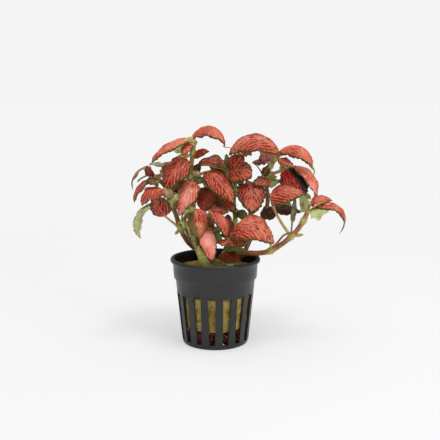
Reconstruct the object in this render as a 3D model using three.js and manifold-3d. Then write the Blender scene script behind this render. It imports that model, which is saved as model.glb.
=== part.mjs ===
// A red-leaved nerve plant in a slotted net pot, with its rock wool plug and its roots.
// Millimetres, +Z up, +X to the right and +Y to the back. The origin is the middle of the pot's foot.
import * as THREE from "three";
import { mergeVertices } from "three/addons/utils/BufferGeometryUtils.js";
import Module from "manifold-3d";

// Driving dimensions.
const CLEARANCE = 0.3;
const POT = {
  height: 52,
  footRadius: 19.8,
  shoulderRadius: 24,
  shoulderHeight: 40,
  collarStep: 1,
  collarTopRadius: 25.6,
  lipRadius: 27,
  lipHeight: 2.4,
  wall: 1,
  floor: 1.4,
  footRounding: 1.2,
  lipRounding: 0.6,
  bevel: 0.3,
  segments: 40,
};
const SLOTS = { count: 16, first: -5, bottom: 3, top: 31.3, bottomWidth: 3.4, topWidth: 5 };
const FLOOR_SLOTS = { count: 8, inner: 8, outer: 15.5, width: 3.2 };
const WOOL = {
  bottom: 10.8,
  edgeTop: 46,
  crown: 48.4,
  shoulder: 47.9,
  shoulderShare: 0.6,
  chamfer: 1.5,
  segments: 24,
};
const STEM_HOLE = { bottom: 38.5, length: 14, spare: 0.6, sides: 6 };
const ROOTS = {
  count: 11,
  crown: WOOL.bottom - CLEARANCE,
  lowest: 3.2,
  spread: 3,
  reach: 17.2,
  radius: 0.8,
  bend: 0.5,
  route: { start: 0.7, elbow: 0.7, fall: 1.1, elbowTurn: 1, wallTurn: 1.5, tip: 0.85, tipTurn: 2.5 },
  sides: 4,
  steps: 3,
  clump: { radius: 9, foot: 6.3, height: 2.2, sides: 12 },
  seed: 7,
};
const BLADE = {
  thickness: 0.7,
  stalk: 0.6,
  tip: 0.3,
  wide: 16.9,
  shoulder: 0.14,
  wave: 0.12,
  scallop: 0.07,
  middle: 0.72,
  fullness: 0.62,
  drawn: 0.35,
  halfway: 0.55,
  stations: [0, 0.1, 0.27, 0.46, 0.66, 0.85, 1],
  small: 9.5,
  shallow: 4,
  fewStations: [0, 0.2, 0.5, 0.8, 1],
};
const STEM = { sides: 6, knuckle: 1.45, knuckleReach: 2 };

const COLOURS = {
  pot: { color: 0x303132, roughness: 0.5, metalness: 0 },
  wool: { color: 0x8c733a, roughness: 1, metalness: 0 },
  roots: { color: 0x6b3a22, roughness: 0.9, metalness: 0 },
  leaf: { color: 0xd8604e, roughness: 0.5, metalness: 0 },
};

// The leafy stems. A path climbs from the foot of the stem in the wool, and its swollen points are the knuckles.
// Each leaf is [path point it grows from, base, tip, width, arch, face, droop]. The rib rises by the arch over
// the line from base to tip, the face is the way the blade looks, and the droop bends its halves down.
export const LEAFY_STEMS = {
  stem_left: {
    radius: 1.4,
    path: [
      [-7, 10, 40], [-9, 9, 51], [-17, 4, 61], [-21, 2, 69], [-24, 1, 79], [-27, 0, 85], [-28, 0, 92],
      [-33, 2, 98], [-38, 3, 101],
    ],
    knuckles: [3, 5, 6, 8],
    leaves: [
      [8, [-38, 3, 106], [-49, 3, 92], 9, 5, [-5, -1, 8], 0.2],
      [8, [-38, 2, 100], [-40, -1, 107], 6, 1, [-4, -8, 2], 0.2],
      [8, [-40, 4, 101], [-47, 10, 96], 7, 1, [-3, -1, 10], 0.1],
      [6, [-30, 8, 106], [-40, 9, 107], 7, 1, [0, -3, 9], 0.1],
      [7, [-34, 0, 96.6], [-40.5, -5, 97], 10, 2, [-1, -5, 8], 0.3],
      [8, [-40, 3, 98], [-48, 0, 85], 8, 3, [-8, -5, 6], 0.3],
      [6, [-30, -1, 92], [-43, -7, 84], 15, 6, [-3, -5, 9], 0.35],
      [3, [-29, -4, 76], [-34, -9, 92], 15, 2, [-3, -9, 2], 0.25],
      [5, [-36.5, 2, 84], [-45.5, 7, 62], 14.5, 7, [-8, 3, 3], 0.2],
      [3, [-22, 1, 68], [-24, -1, 66], 3, 0, [-4, -8, 5], 0.1],
      [4, [-23.5, 3, 82], [-23.5, 3, 91], 5, 0, [0, -8, 2], 0.1],
    ],
  },
  stem_left_tall: {
    radius: 1.4,
    path: [[-6, 14.5, 40], [-10, 14, 58], [-14, 12, 82], [-15, 10, 99], [-13.5, 9, 114], [-12.5, 8, 121]],
    knuckles: [2, 3, 4],
    leaves: [
      [5, [-14, 8, 123], [6, 4, 118], 15, 9.5, [0, -3, 10], 0.5],
      [5, [-15, 8, 122], [-37, -4, 109], 10, 4.5, [-2, -4, 10], 0.4],
      [4, [-16, 8, 116], [-26, 5, 116], 8, 1, [0, 6, 6], 0.2],
      [5, [-15, 6, 120], [-19, 0, 113], 7, 1, [-2, -8, 4], 0.3],
      [4, [-18, 7, 111], [-31, -4, 94], 15, 3, [-3, -8, 5], 0.25],
      [4, [-13, 8, 112.6], [-4, 4, 115.4], 6, 1, [0, -6, 8], 0.2],
      [3, [-13, 6, 97], [-21, -6, 78], 13, 3, [-2, -9, 4], 0.3],
      [3, [-5, 7, 103], [11, -5, 85], 14, 4, [2, -8, 5], 0.3],
      [3, [-13, 8, 101], [-9, 5, 103], 6, 1, [1, -6, -2], 0.2],
      [2, [-3, 10, 93], [-7.5, 3, 79], 12.5, 2, [0, -9, 4], 0.2],
      [3, [-18, 10, 97], [-28, 8, 90], 9, 1, [-1, -8, 5], 0.2],
      [3, [-13, 8, 98.5], [-6.5, 6, 97], 6, 0, [0, -8, 4], 0.1],
    ],
  },
  stem_middle: {
    radius: 1.2,
    path: [[2, 15, 40], [7, 12, 57], [12, 10, 72], [11, 10, 82], [12, 12, 92], [10, 12, 101]],
    knuckles: [2, 3, 4, 5],
    leaves: [
      [5, [8.5, 12.5, 100.6], [-11, 11, 105.5], 17, 3, [0, -3, 10], -0.4],
      [5, [10, 9, 102], [17, 3, 113], 15, 2, [-3, -8, 3], 0.3],
      [5, [10, 7, 103], [21.2, -4, 99.8], 16.5, 4, [0, -8, 6], 0.3],
      [4, [20.5, 3, 97], [22, -12, 80], 17, 4, [0, -7, 7], 0.3],
      [4, [5, 6, 86], [12, 0, 79], 6, 1, [1, -8, 4], 0.2],
      [3, [13.5, 7, 79], [19, 2, 74.5], 6.5, 1, [0, -8, 5], 0.2],
      [5, [8, 12, 104], [6.5, 11, 113], 4, 0, [-2, -8, 1], 0.1],
      [4, [13, 8, 96], [17.5, 4, 99], 5, 0, [0, -8, 3], 0.1],
      [4, [9, 16, 91], [6, 28, 86], 10, 3, [0, 5, 8], 0.3],
    ],
  },
  stem_right_tall: {
    radius: 1.3,
    path: [
      [9, 12.5, 40], [18, 12, 53], [22, 13, 61], [27, 14, 69], [31, 15, 77], [32, 13, 85],
      [31, 10, 93], [29, 8, 99], [33, 6, 106], [36, 5, 111],
    ],
    knuckles: [4, 7, 8, 9],
    leaves: [
      [9, [38, 3, 114], [8, 4, 113], 18, 11.5, [0, -5, 8], 0.35],
      [9, [38, 4, 115], [58.5, 2, 102], 12, 10, [0, -5, 9], 0.4],
      [9, [38, 2, 111], [46, -4, 106], 7, 1, [3, -7, 7], 0.2],
      [8, [31, 8, 108.5], [22, 12, 107.6], 7, 1, [0, -5, 8], 0.1],
      [8, [33, 8, 109], [29, 14, 117], 10, 1, [-3, 8, 5], 0.2],
      [7, [43, 4, 105], [53, -4, 90], 17, 2, [3, -8, 4], 0.3],
      [7, [47, 6, 106], [59.4, 1, 87], 13.5, 6.4, [7, -5, 6], 0.3],
      [7, [33, 4, 97], [22, -4, 96], 10, 2, [-1, -7, 7], 0.3],
      [7, [36, 9, 101], [30, 14, 101], 6, 1, [0, -3, 8], 0.2],
      [7, [36, 4, 98.5], [33, -3, 94], 7, 1, [1, 4, 8], 0.2],
      [7, [28.5, 6, 100.5], [32.5, 4.5, 107], 6.5, 0, [-2, -8, 0], 0.1],
      [4, [35, 13, 79], [53, 14, 76.8], 6.5, 1, [0, -5, 6], 0.3],
      [4, [35.5, 12, 76.5], [26, 11, 73.5], 11, 1, [0, -5, 6], 0.2],
      [7, [31, 12, 99], [35, 26, 94], 10, 3, [1, 5, 8], 0.3],
    ],
  },
  stem_right: {
    radius: 1.5,
    path: [
      [9, 8, 40], [11, 6, 50], [17, 1, 54], [26, -1, 54.6], [33, -3, 56.4], [45, -5, 65.5], [52, -6, 75],
      [54, -6, 80],
    ],
    knuckles: [4, 5, 6],
    leaves: [
      [7, [56, -6, 82], [73.6, -4, 66.6], 9, 12.8, [2, -4, 9], 0.3],
      [7, [56, -5, 84.6], [69, -4, 86.6], 9, 3, [1, -5, 8], 0.2],
      [6, [54, -4, 81], [51, 2, 91], 11, 1, [2, 7, 6], 0.2],
      [7, [56, -7, 80], [67, -3, 82], 12, 1, [0, 7, 5], 0.2],
      [5, [46, 1, 73], [48, 7, 88], 5, 1, [2, -8, 3], 0.1],
      [5, [32, -9, 90.5], [49, -16, 94], 17, 2, [1, -7, 8], 0.25],
      [5, [48, -6, 65], [52, -7, 67], 3, 0, [0, -2, 8], 0.1],
    ],
  },
  stem_front_left: {
    radius: 1.1,
    path: [[-6, 6, 40], [-9.5, 3.5, 51], [-16, 0.5, 65], [-18.5, 0, 72], [-17, -2, 78], [-13, -4, 82]],
    knuckles: [3, 5],
    leaves: [
      [5, [-11, -5, 82], [-9, -14, 66], 12, 2, [-1, -8, 4], 0.3],
      [5, [-14, -7, 81], [-18, -14, 80], 6, 1, [0, -1, 8], 0.2],
      [2, [-13.5, -1, 65], [-11.5, -1, 57], 4, 0, [0, -8, 1], 0.1],
    ],
  },
  stem_front: {
    radius: 1.1,
    path: [[-1, 4, 40], [-2, 1, 56], [-4, -4, 70], [-4, -6, 79]],
    knuckles: [2, 3],
    leaves: [
      [2, [-5, -8, 71], [-1, -20, 54], 10, 3, [0, -8, 5], 0.3],
      [3, [-3, -8, 80], [6, -16, 66], 11, 5.5, [5, -5, 7], 0.3],
      [3, [-4, -6, 78], [-2, -6, 71], 6, 1, [0, -8, 3], 0.2],
      [3, [-3, -5, 81], [8, -4, 80], 8, 1, [0, -5, 8], 0.1],
      [2, [-1, -5, 68], [4, -7, 61], 6, 0, [0, -8, 3], 0.1],
    ],
  },
  stem_front_right: {
    radius: 1.1,
    path: [[5, 1, 40], [7, -2, 52], [8, -6, 58], [9, -10, 65]],
    knuckles: [2, 3],
    leaves: [
      [3, [9.5, -12, 66.5], [34.5, -20, 63.8], 21, 14.4, [2, -6, 7], 0.35],
      [3, [8, -12, 65], [4, -22, 63], 9, 1, [-2, -5, 7], 0.2],
      [3, [9, -13, 65], [16, -24, 63], 12, 1, [2, -6, 7], 0.2],
      [2, [5, -7, 56], [13, -15, 53], 9, 1, [0, -5, 8], 0.2],
      [2, [10, -6, 58], [17, -6, 56], 9, 1, [0, 1, 10], 0.1],
      [2, [7, -4, 64], [7.5, 0.5, 78], 8, 1, [0, -8, 2], 0.2],
    ],
  },
  stem_back_left: {
    radius: 1.2,
    path: [[-8, 18.5, 40], [-10, 20, 51], [-12, 24, 62], [-16, 27, 76], [-21, 30, 91], [-26, 31, 101]],
    knuckles: [2, 3, 4, 5],
    leaves: [
      [5, [-26, 33, 103], [-32, 47, 93], 14, 4, [-3, 8, 6], 0.3],
      [5, [-22, 32, 104], [-19, 38, 112], 9, 2, [-2, 8, 2], 0.2],
      [5, [-30, 32, 98], [-41, 34, 95], 9, 2, [-5, 4, 8], 0.3],
      [4, [-18, 32, 89], [-20, 45, 76], 13, 4, [-1, 8, 6], 0.3],
      [4, [-27, 31, 88], [-41, 38, 80], 13, 4, [-6, 4, 6], 0.3],
      [2, [-12, 27, 66], [-12, 38, 56], 11, 3, [-1, 8, 6], 0.3],
      [3, [-18, 24, 80], [-20, 13, 84], 10, 2, [-1, -5, 9], 0.3],
      [4, [-22, 27, 93], [-26, 14, 95], 11, 3, [-1, -4, 9], 0.3],
      [5, [-27, 28, 103], [-29, 15, 106], 10, 3, [-1, -3, 9], 0.3],
    ],
  },
  stem_back: {
    radius: 1.2,
    path: [[-1, 19, 40], [-1, 21, 50], [-1, 25, 60], [-3, 29, 76], [-1, 31, 88], [4, 33, 98]],
    knuckles: [2, 3, 4, 5],
    leaves: [
      [5, [1, 35, 96], [-6, 46, 87], 13, 4, [-3, 8, 6], 0.3],
      [5, [6, 35, 99], [10, 47, 88], 13, 4, [2, 8, 6], 0.3],
      [4, [-3, 33, 86], [-3, 45, 74], 13, 4, [0, 8, 6], 0.3],
      [2, [-2, 27, 65], [-1, 40, 56], 11, 3, [0, 8, 6], 0.3],
      [4, [-3, 28, 89], [-4, 15, 85], 11, 3, [0, -5, 8], 0.3],
    ],
  },
  stem_back_middle: {
    radius: 1.2,
    path: [
      [5, 18.5, 40], [8, 20, 50], [14, 24, 58], [21, 27, 69], [22, 30, 79], [22, 32, 89],
      [17, 34, 101], [16, 34, 108],
    ],
    knuckles: [3, 4, 5, 6, 7],
    leaves: [
      [7, [17, 35, 111], [26, 36, 116], 11, 3, [-1, 7, 6], 0.3],
      [7, [16, 37, 111], [17, 47, 113], 10, 3, [0, 5, 8], 0.3],
      [6, [15, 36, 103], [12, 48, 98], 12, 3, [-1, 8, 8], 0.3],
      [5, [23, 34, 87], [24, 45, 76], 13, 4, [1, 8, 6], 0.3],
      [3, [23, 29, 69], [26, 42, 57], 13, 4, [1, 8, 6], 0.3],
      [5, [22, 28, 90], [21, 15, 85], 12, 3, [0, -5, 8], 0.3],
      [6, [16, 30, 102], [13, 19, 98], 11, 3, [0, -4, 9], 0.3],
    ],
  },
  stem_back_right: {
    radius: 1.2,
    path: [[10, 17, 40], [13, 18, 52], [23, 22, 62], [33, 26, 74], [41, 28, 85], [48, 28, 96]],
    knuckles: [3, 4, 5],
    leaves: [
      [5, [49, 30, 97], [54, 42, 87], 14, 4, [4, 7, 6], 0.3],
      [5, [46, 29, 99], [41, 34, 106], 10, 2, [-1, 7, 4], 0.2],
      [4, [42, 31, 86], [41, 45, 79], 12, 4, [0, 8, 7], 0.3],
      [4, [46, 28, 88], [61, 34, 82], 12, 3, [3, 6, 8], 0.3],
      [3, [36, 28, 77], [49, 36, 78], 11, 3, [1, 7, 7], 0.3],
      [5, [47, 25, 97], [43, 12, 91], 12, 3, [0, -5, 8], 0.3],
      [4, [40, 25, 87], [36, 14, 84], 11, 2, [0, -5, 8], 0.3],
    ],
  },
};

const wasm = await Module();
wasm.setup();

const vector = (p) => new THREE.Vector3(...p);

// A closed geometry as a solid that manifold-3d can join and cut.
function solidOf(geometry) {
  const bare = geometry.clone();
  bare.deleteAttribute("normal");
  bare.deleteAttribute("uv");
  const merged = mergeVertices(bare, 1e-4);
  const mesh = new wasm.Mesh({
    numProp: 3,
    vertProperties: new Float32Array(merged.attributes.position.array),
    triVerts: new Uint32Array(merged.index.array),
  });
  return new wasm.Manifold(mesh);
}

function geometryOf(solid) {
  const { vertProperties, triVerts } = solid.getMesh();
  const geometry = new THREE.BufferGeometry();
  geometry.setAttribute("position", new THREE.BufferAttribute(vertProperties, 3));
  geometry.setIndex(new THREE.BufferAttribute(triVerts, 1));
  geometry.computeVertexNormals();
  return geometry;
}

function meshOf(name, solid, colour) {
  const mesh = new THREE.Mesh(geometryOf(solid), new THREE.MeshStandardMaterial(colour));
  mesh.name = name;
  return mesh;
}

// Seeded random numbers from 0 to 1, the same at each run.
function seeded(seed) {
  let state = seed;
  return () => {
    state = (state * 16807) % 2147483647;
    return state / 2147483647;
  };
}

function polygon(radius, sides) {
  const points = Array.from({ length: sides }, (_, k) => {
    const angle = (2 * Math.PI * k) / sides;
    return new THREE.Vector2(radius * Math.cos(angle), radius * Math.sin(angle));
  });
  return new THREE.Shape(points);
}

function tube(points, radius, sides, steps) {
  const extrudePath = new THREE.CatmullRomCurve3(points);
  return solidOf(new THREE.ExtrudeGeometry(polygon(radius, sides), { steps, extrudePath }));
}

function lathe(profile, segments) {
  const points = profile.map(([x, z]) => new THREE.Vector2(x, z));
  return solidOf(new THREE.LatheGeometry(points, segments).rotateX(Math.PI / 2));
}

// The net pot: a tapered cup with a stepped collar, a rolled lip, slots up its side and in its floor.
function potSide(z) {
  const rise = (POT.shoulderRadius - POT.footRadius) / POT.shoulderHeight;
  return POT.footRadius + rise * Math.min(z, POT.shoulderHeight);
}

function sideSlot(k) {
  const half = [SLOTS.bottomWidth / 2, SLOTS.topWidth / 2];
  const outline = new THREE.Shape([
    new THREE.Vector2(-half[0], SLOTS.bottom),
    new THREE.Vector2(half[0], SLOTS.bottom),
    new THREE.Vector2(half[1], SLOTS.top),
    new THREE.Vector2(-half[1], SLOTS.top),
  ]);
  const cutter = new THREE.ExtrudeGeometry(outline, { depth: POT.lipRadius, bevelEnabled: false });
  cutter.rotateX(Math.PI / 2).translate(0, -POT.footRadius / 2, 0);
  return solidOf(cutter.rotateZ(THREE.MathUtils.degToRad(SLOTS.first + (360 / SLOTS.count) * k)));
}

function floorSlot(k) {
  const length = FLOOR_SLOTS.outer - FLOOR_SLOTS.inner;
  const cutter = new THREE.BoxGeometry(length, FLOOR_SLOTS.width, POT.floor * 4);
  cutter.translate((FLOOR_SLOTS.outer + FLOOR_SLOTS.inner) / 2, 0, 0);
  return solidOf(cutter.rotateZ((2 * Math.PI * (k + 0.5)) / FLOOR_SLOTS.count));
}

function pot() {
  const { height, footRadius, shoulderRadius, shoulderHeight, collarStep, collarTopRadius } = POT;
  const { lipRadius, lipHeight, wall, floor, footRounding, lipRounding, bevel } = POT;
  const collarRadius = shoulderRadius + collarStep;
  const lipBottom = height - lipHeight;
  const cup = lathe(
    [
      [0, 0],
      [footRadius - footRounding, 0],
      [potSide(0), footRounding],
      [shoulderRadius, shoulderHeight],
      [collarRadius, shoulderHeight + bevel],
      [collarTopRadius, lipBottom],
      [lipRadius, lipBottom + bevel],
      [lipRadius, height - lipRounding],
      [lipRadius - lipRounding, height],
      [collarTopRadius - wall, height],
      [collarRadius - wall, shoulderHeight + 2 * bevel],
      [shoulderRadius - wall, shoulderHeight - bevel],
      [potSide(floor) - wall, floor],
      [0, floor],
    ],
    POT.segments,
  );
  const cutters = [];
  for (let k = 0; k < SLOTS.count; k++) cutters.push(sideSlot(k));
  for (let k = 0; k < FLOOR_SLOTS.count; k++) cutters.push(floorSlot(k));
  return cutters.reduce((cut, cutter) => cut.subtract(cutter), cup);
}

// The rock wool plug, wedged in the taper of the pot, with a plain hole for each stem.
function wool(stems) {
  const rim = potSide(WOOL.edgeTop) - POT.wall - CLEARANCE;
  const plug = lathe(
    [
      [0, WOOL.bottom],
      [potSide(WOOL.bottom) - POT.wall - CLEARANCE - WOOL.chamfer, WOOL.bottom],
      [potSide(WOOL.bottom + WOOL.chamfer) - POT.wall - CLEARANCE, WOOL.bottom + WOOL.chamfer],
      [rim, POT.shoulderHeight - 1],
      [rim, WOOL.edgeTop - WOOL.chamfer],
      [rim - WOOL.chamfer, WOOL.edgeTop],
      [rim * WOOL.shoulderShare, WOOL.shoulder],
      [0, WOOL.crown],
    ],
    WOOL.segments,
  );
  const holes = Object.values(stems).map(({ path, radius }) => {
    const [foot, next] = path.map(vector);
    const along = next.clone().sub(foot).normalize();
    const bottom = foot.clone().addScaledVector(along, -(foot.z - STEM_HOLE.bottom) / along.z);
    const top = foot.clone().addScaledVector(along, STEM_HOLE.length);
    return tube([bottom, top], radius + STEM_HOLE.spare, STEM_HOLE.sides, 1);
  });
  return holes.reduce((cut, hole) => cut.subtract(hole), plug);
}

// The roots that grew out of the plug's underside: a matted clump and roots that bend down round the foot.
function roots() {
  const { count, crown, lowest, spread, reach, radius, clump, route, steps } = ROOTS;
  const random = seeded(ROOTS.seed);
  const mat = new THREE.CylinderGeometry(clump.radius, clump.foot, clump.height, clump.sides);
  let mass = solidOf(mat.rotateX(Math.PI / 2).translate(0, 0, crown - clump.height / 2));
  for (let k = 0; k < count; k++) {
    const angle = (2 * Math.PI * (k + ROOTS.bend * random())) / count;
    const bend = ROOTS.bend * (random() - 0.5);
    const low = lowest + spread * random();
    const at = (r, turn, z) => new THREE.Vector3(r * Math.cos(angle + turn), r * Math.sin(angle + turn), z);
    const points = [
      at(clump.radius / 2, 0, crown - route.start * clump.height),
      at(reach * route.elbow, bend * route.elbowTurn, crown - clump.height * (route.fall + random())),
      at(reach, bend * route.wallTurn, low + radius * 2),
      at(reach * route.tip, bend * route.tipTurn, low),
    ];
    mass = mass.add(tube(points, radius, ROOTS.sides, steps));
  }
  return mass;
}

// The half-width of a blade along its rib, from its base at 0 to its tip at 1: an egg with a drawn-out point.
function outline(t) {
  return Math.sin(Math.PI * t ** BLADE.middle) ** BLADE.fullness * (1 - BLADE.drawn * t ** 5);
}

// The rib of a blade, an arch from its base to its tip, and the way that runs across the blade.
function bladeFrame([, base, tip, , arch, face]) {
  const start = vector(base);
  const end = vector(tip);
  const chord = end.clone().sub(start).normalize();
  const look = vector(face);
  const up = look.addScaledVector(chord, -look.dot(chord)).normalize();
  const rise = up.clone().multiplyScalar((4 / 3) * arch);
  const rib = new THREE.CubicBezierCurve3(
    start,
    start.clone().lerp(end, BLADE.shoulder).add(rise),
    end.clone().lerp(start, BLADE.shoulder).add(rise),
    end,
  );
  return { rib, side: new THREE.Vector3().crossVectors(chord, up) };
}

// The cross-sections of a leaf: the stalk's foot in the core of the stem, then stations along the rib.
function leafSections(path, leaf) {
  const { rib, side } = bladeFrame(leaf);
  const foot = vector(path[leaf[0]]);
  const along = rib.getPoint(0).sub(foot).normalize();
  const across = side.clone().addScaledVector(along, -side.dot(along)).normalize();
  const stations = leaf[3] > BLADE.small || leaf[4] > BLADE.shallow ? BLADE.stations : BLADE.fewStations;
  const sections = stations.map((t, i) => ({
    centre: rib.getPoint(t),
    across: side,
    up: new THREE.Vector3().crossVectors(side, rib.getTangent(t)).normalize(),
    half: Math.max(BLADE.stalk, (leaf[3] / 2) * outline(t) * (1 + BLADE.scallop * (i % 2 ? 1 : -1))),
    droop: leaf[6],
    thick: t ? BLADE.thickness : BLADE.stalk * 2,
    wave: i % 2 ? BLADE.wave : -BLADE.wave,
  }));
  sections[sections.length - 1].half = BLADE.tip;
  const up = new THREE.Vector3().crossVectors(across, along);
  const root = { centre: foot, across, up, half: BLADE.stalk, droop: 0, thick: BLADE.stalk * 2, wave: 0 };
  return [root, ...sections];
}

// One leaf: a closed, arched and waved plate with its stalk. Both faces are split into triangles alike.
export function leafSolid(path, leaf) {
  const columns = leaf[3] > BLADE.wide ? [-1, -BLADE.halfway, 0, BLADE.halfway, 1] : [-1, 0, 1];
  const sections = leafSections(path, leaf);
  const faces = { top: [], bottom: [] };
  for (const { centre, across, up, half, droop, thick, wave } of sections) {
    for (const u of columns) {
      const lift = half * (Math.sign(u) * wave - droop) * u * u;
      const point = centre.clone().addScaledVector(across, u * half).addScaledVector(up, lift);
      const normal = up.clone().addScaledVector(across, 2 * droop * u).normalize();
      faces.top.push(point.clone().addScaledVector(normal, thick / 2));
      faces.bottom.push(point.addScaledVector(normal, -thick / 2));
    }
  }
  return solidOf(plate(faces, sections.length, columns.length));
}

function plate({ top, bottom }, rows, columns) {
  const under = rows * columns;
  const index = [];
  const quad = (a, b, c, d) => index.push(a, c, b, a, d, c);
  const at = (i, j) => i * columns + j;
  for (let i = 0; i + 1 < rows; i++) {
    for (let j = 0; j + 1 < columns; j++) {
      const [a, b, c, d] = [at(i, j), at(i + 1, j), at(i + 1, j + 1), at(i, j + 1)];
      quad(a, b, c, d);
      index.push(under + a, under + b, under + c, under + a, under + c, under + d);
    }
  }
  const wall = (a, b) => quad(a, b, under + b, under + a);
  for (let i = 0; i + 1 < rows; i++) {
    wall(at(i + 1, 0), at(i, 0));
    wall(at(i, columns - 1), at(i + 1, columns - 1));
  }
  for (let j = 0; j + 1 < columns; j++) {
    wall(at(0, j), at(0, j + 1));
    wall(at(rows - 1, j + 1), at(rows - 1, j));
  }
  return new THREE.BufferGeometry().setFromPoints([...top, ...bottom]).setIndex(index);
}

// The stalk of a stem: rings of points along a smooth path, wider at its knuckles.
function stalk(path, radius, knuckles) {
  const { sides } = STEM;
  const curve = new THREE.CatmullRomCurve3(path.map(vector));
  const reach = STEM.knuckleReach / curve.getLength();
  const rings = path.flatMap((_, k) => {
    const t = k / (path.length - 1);
    if (!knuckles.includes(k)) return [[t, 1]];
    const swollen = [[t - reach, 1], [t, STEM.knuckle]];
    return t < 1 ? [...swollen, [t + reach, 1]] : swollen;
  });
  const points = rings.flatMap(([t, swelling]) => {
    const along = curve.getTangent(t);
    const right = new THREE.Vector3(0, 1, 0).cross(along).normalize();
    const back = along.clone().cross(right);
    const ring = polygon(radius * swelling, sides).getPoints().slice(0, sides);
    return ring.map(({ x, y }) => curve.getPoint(t).addScaledVector(right, x).addScaledVector(back, y));
  });
  const index = [];
  for (let i = 0; i + 1 < rings.length; i++) {
    for (let j = 0; j < sides; j++) {
      const [a, b] = [i * sides + j, i * sides + ((j + 1) % sides)];
      index.push(a, b, b + sides, a, b + sides, a + sides);
    }
  }
  const last = (rings.length - 1) * sides;
  for (let j = 1; j + 1 < sides; j++) index.push(0, j + 1, j, last, last + j, last + j + 1);
  return solidOf(new THREE.BufferGeometry().setFromPoints(points).setIndex(index));
}

function leafyStem({ path, radius, knuckles, leaves }) {
  return leaves.reduce((joined, leaf) => joined.add(leafSolid(path, leaf)), stalk(path, radius, knuckles));
}

const plant = new THREE.Group();
plant.add(meshOf("pot", pot(), COLOURS.pot));
plant.add(meshOf("rock_wool", wool(LEAFY_STEMS), COLOURS.wool));
plant.add(meshOf("roots", roots(), COLOURS.roots));
for (const [name, stem] of Object.entries(LEAFY_STEMS)) {
  plant.add(meshOf(name, leafyStem(stem), COLOURS.leaf));
}

export default plant;
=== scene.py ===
import math
import random

import bpy
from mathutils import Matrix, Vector, noise


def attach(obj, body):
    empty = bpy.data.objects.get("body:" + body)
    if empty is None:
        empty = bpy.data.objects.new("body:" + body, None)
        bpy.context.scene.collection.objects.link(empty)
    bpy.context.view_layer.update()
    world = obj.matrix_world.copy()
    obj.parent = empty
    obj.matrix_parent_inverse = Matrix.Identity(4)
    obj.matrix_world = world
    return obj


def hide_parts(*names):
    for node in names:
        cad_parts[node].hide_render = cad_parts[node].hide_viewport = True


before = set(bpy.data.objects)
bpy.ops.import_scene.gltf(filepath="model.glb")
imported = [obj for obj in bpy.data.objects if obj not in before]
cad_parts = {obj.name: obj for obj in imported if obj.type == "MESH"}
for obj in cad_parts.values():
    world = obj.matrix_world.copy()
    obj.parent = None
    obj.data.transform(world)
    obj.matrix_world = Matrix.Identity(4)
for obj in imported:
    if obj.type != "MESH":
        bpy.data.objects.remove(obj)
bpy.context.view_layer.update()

# ---- Camera -----------------------------------------------------------------------------------------------
# A long lens, 0.44 m in front of the plant and a little above its top, that looks slightly down.
# The view is square.
LENS_MM, SENSOR_MM = 61.0, 36.0
CAMERA_PLACE = (0.00281, -0.4388, 0.14735)
LOOK_DOWN = math.radians(9.42)
NEAREST_SEEN = 0.01

lens = bpy.data.cameras.new("camera")
lens.sensor_width = SENSOR_MM
lens.lens = LENS_MM
lens.clip_start = NEAREST_SEEN
camera = bpy.data.objects.new("camera", lens)
camera.location = CAMERA_PLACE
camera.rotation_euler = (math.pi / 2 - LOOK_DOWN, 0.0, 0.0)
bpy.context.scene.collection.objects.link(camera)
bpy.context.scene.camera = camera

# ---- Studio floor -----------------------------------------------------------------------------------------
# A very wide round sheet of white paper that the plant stands on. It isn't part of the plant.
# It runs out of sight on every side. The camera sees a painted glow over it, more with distance from the pot,
# which lightens the shadows that fall on the paper.
SHEET_RADII = [0.2, 0.5, 1.2, 3.0, 8.0, 20.0]
SHEET_SIDES = 64
PAPER_WHITE, PAINTED_PAPER_GLOW = (0.93, 0.93, 0.93, 1.0), (0.92, 0.92, 0.92, 1.0)
GLOW_DISTANCES, GLOW_SHARES = (0.08, 0.6), (0.52, 0.97)


def mesh_object(name, points, faces):
    mesh = bpy.data.meshes.new(name)
    mesh.from_pydata(points, [], faces)
    mesh.polygons.foreach_set("use_smooth", [True] * len(mesh.polygons))
    piece = bpy.data.objects.new(name, mesh)
    bpy.context.scene.collection.objects.link(piece)
    return piece


def round_quads(first, around, rows):
    """The four-cornered faces between rows of points that each run once round."""
    quads = []
    for i in range(rows - 1):
        low, high = first + i * around, first + (i + 1) * around
        for k in range(around):
            n = (k + 1) % around
            quads.append((low + k, low + n, high + n, high + k))
    return quads


def round_sheet():
    turns = [2 * math.pi * k / SHEET_SIDES for k in range(SHEET_SIDES)]
    points = [(r * math.cos(a), r * math.sin(a), 0.0) for r in SHEET_RADII for a in turns]
    faces = [quad[::-1] for quad in round_quads(0, SHEET_SIDES, len(SHEET_RADII))]
    faces += [(len(points), k, (k + 1) % SHEET_SIDES) for k in range(SHEET_SIDES)]
    return mesh_object("studio_paper", points + [(0.0, 0.0, 0.0)], faces)


def new_material(name):
    material = bpy.data.materials.new(name)
    material.use_nodes = True
    return material, material.node_tree, material.node_tree.nodes["Principled BSDF"]


def feed(tree, node, inputs):
    """Gives each input of a node its value, or joins it to the output that it comes from."""
    for socket, source in inputs.items():
        if isinstance(source, bpy.types.NodeSocket):
            tree.links.new(source, node.inputs[socket])
        else:
            node.inputs[socket].default_value = source


def add_node(tree, kind, inputs=None, **settings):
    node = tree.nodes.new(kind)
    for setting, value in settings.items():
        setattr(node, setting, value)
    feed(tree, node, inputs or {})
    return node


def in_range(tree, value, given, wanted, **settings):
    """Stretches a value from the given range to the wanted one."""
    (low, high), (start, end) = given, wanted
    inputs = {"Value": value, "From Min": low, "From Max": high, "To Min": start, "To Max": end}
    return add_node(tree, "ShaderNodeMapRange", inputs, **settings).outputs["Result"]


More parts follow.
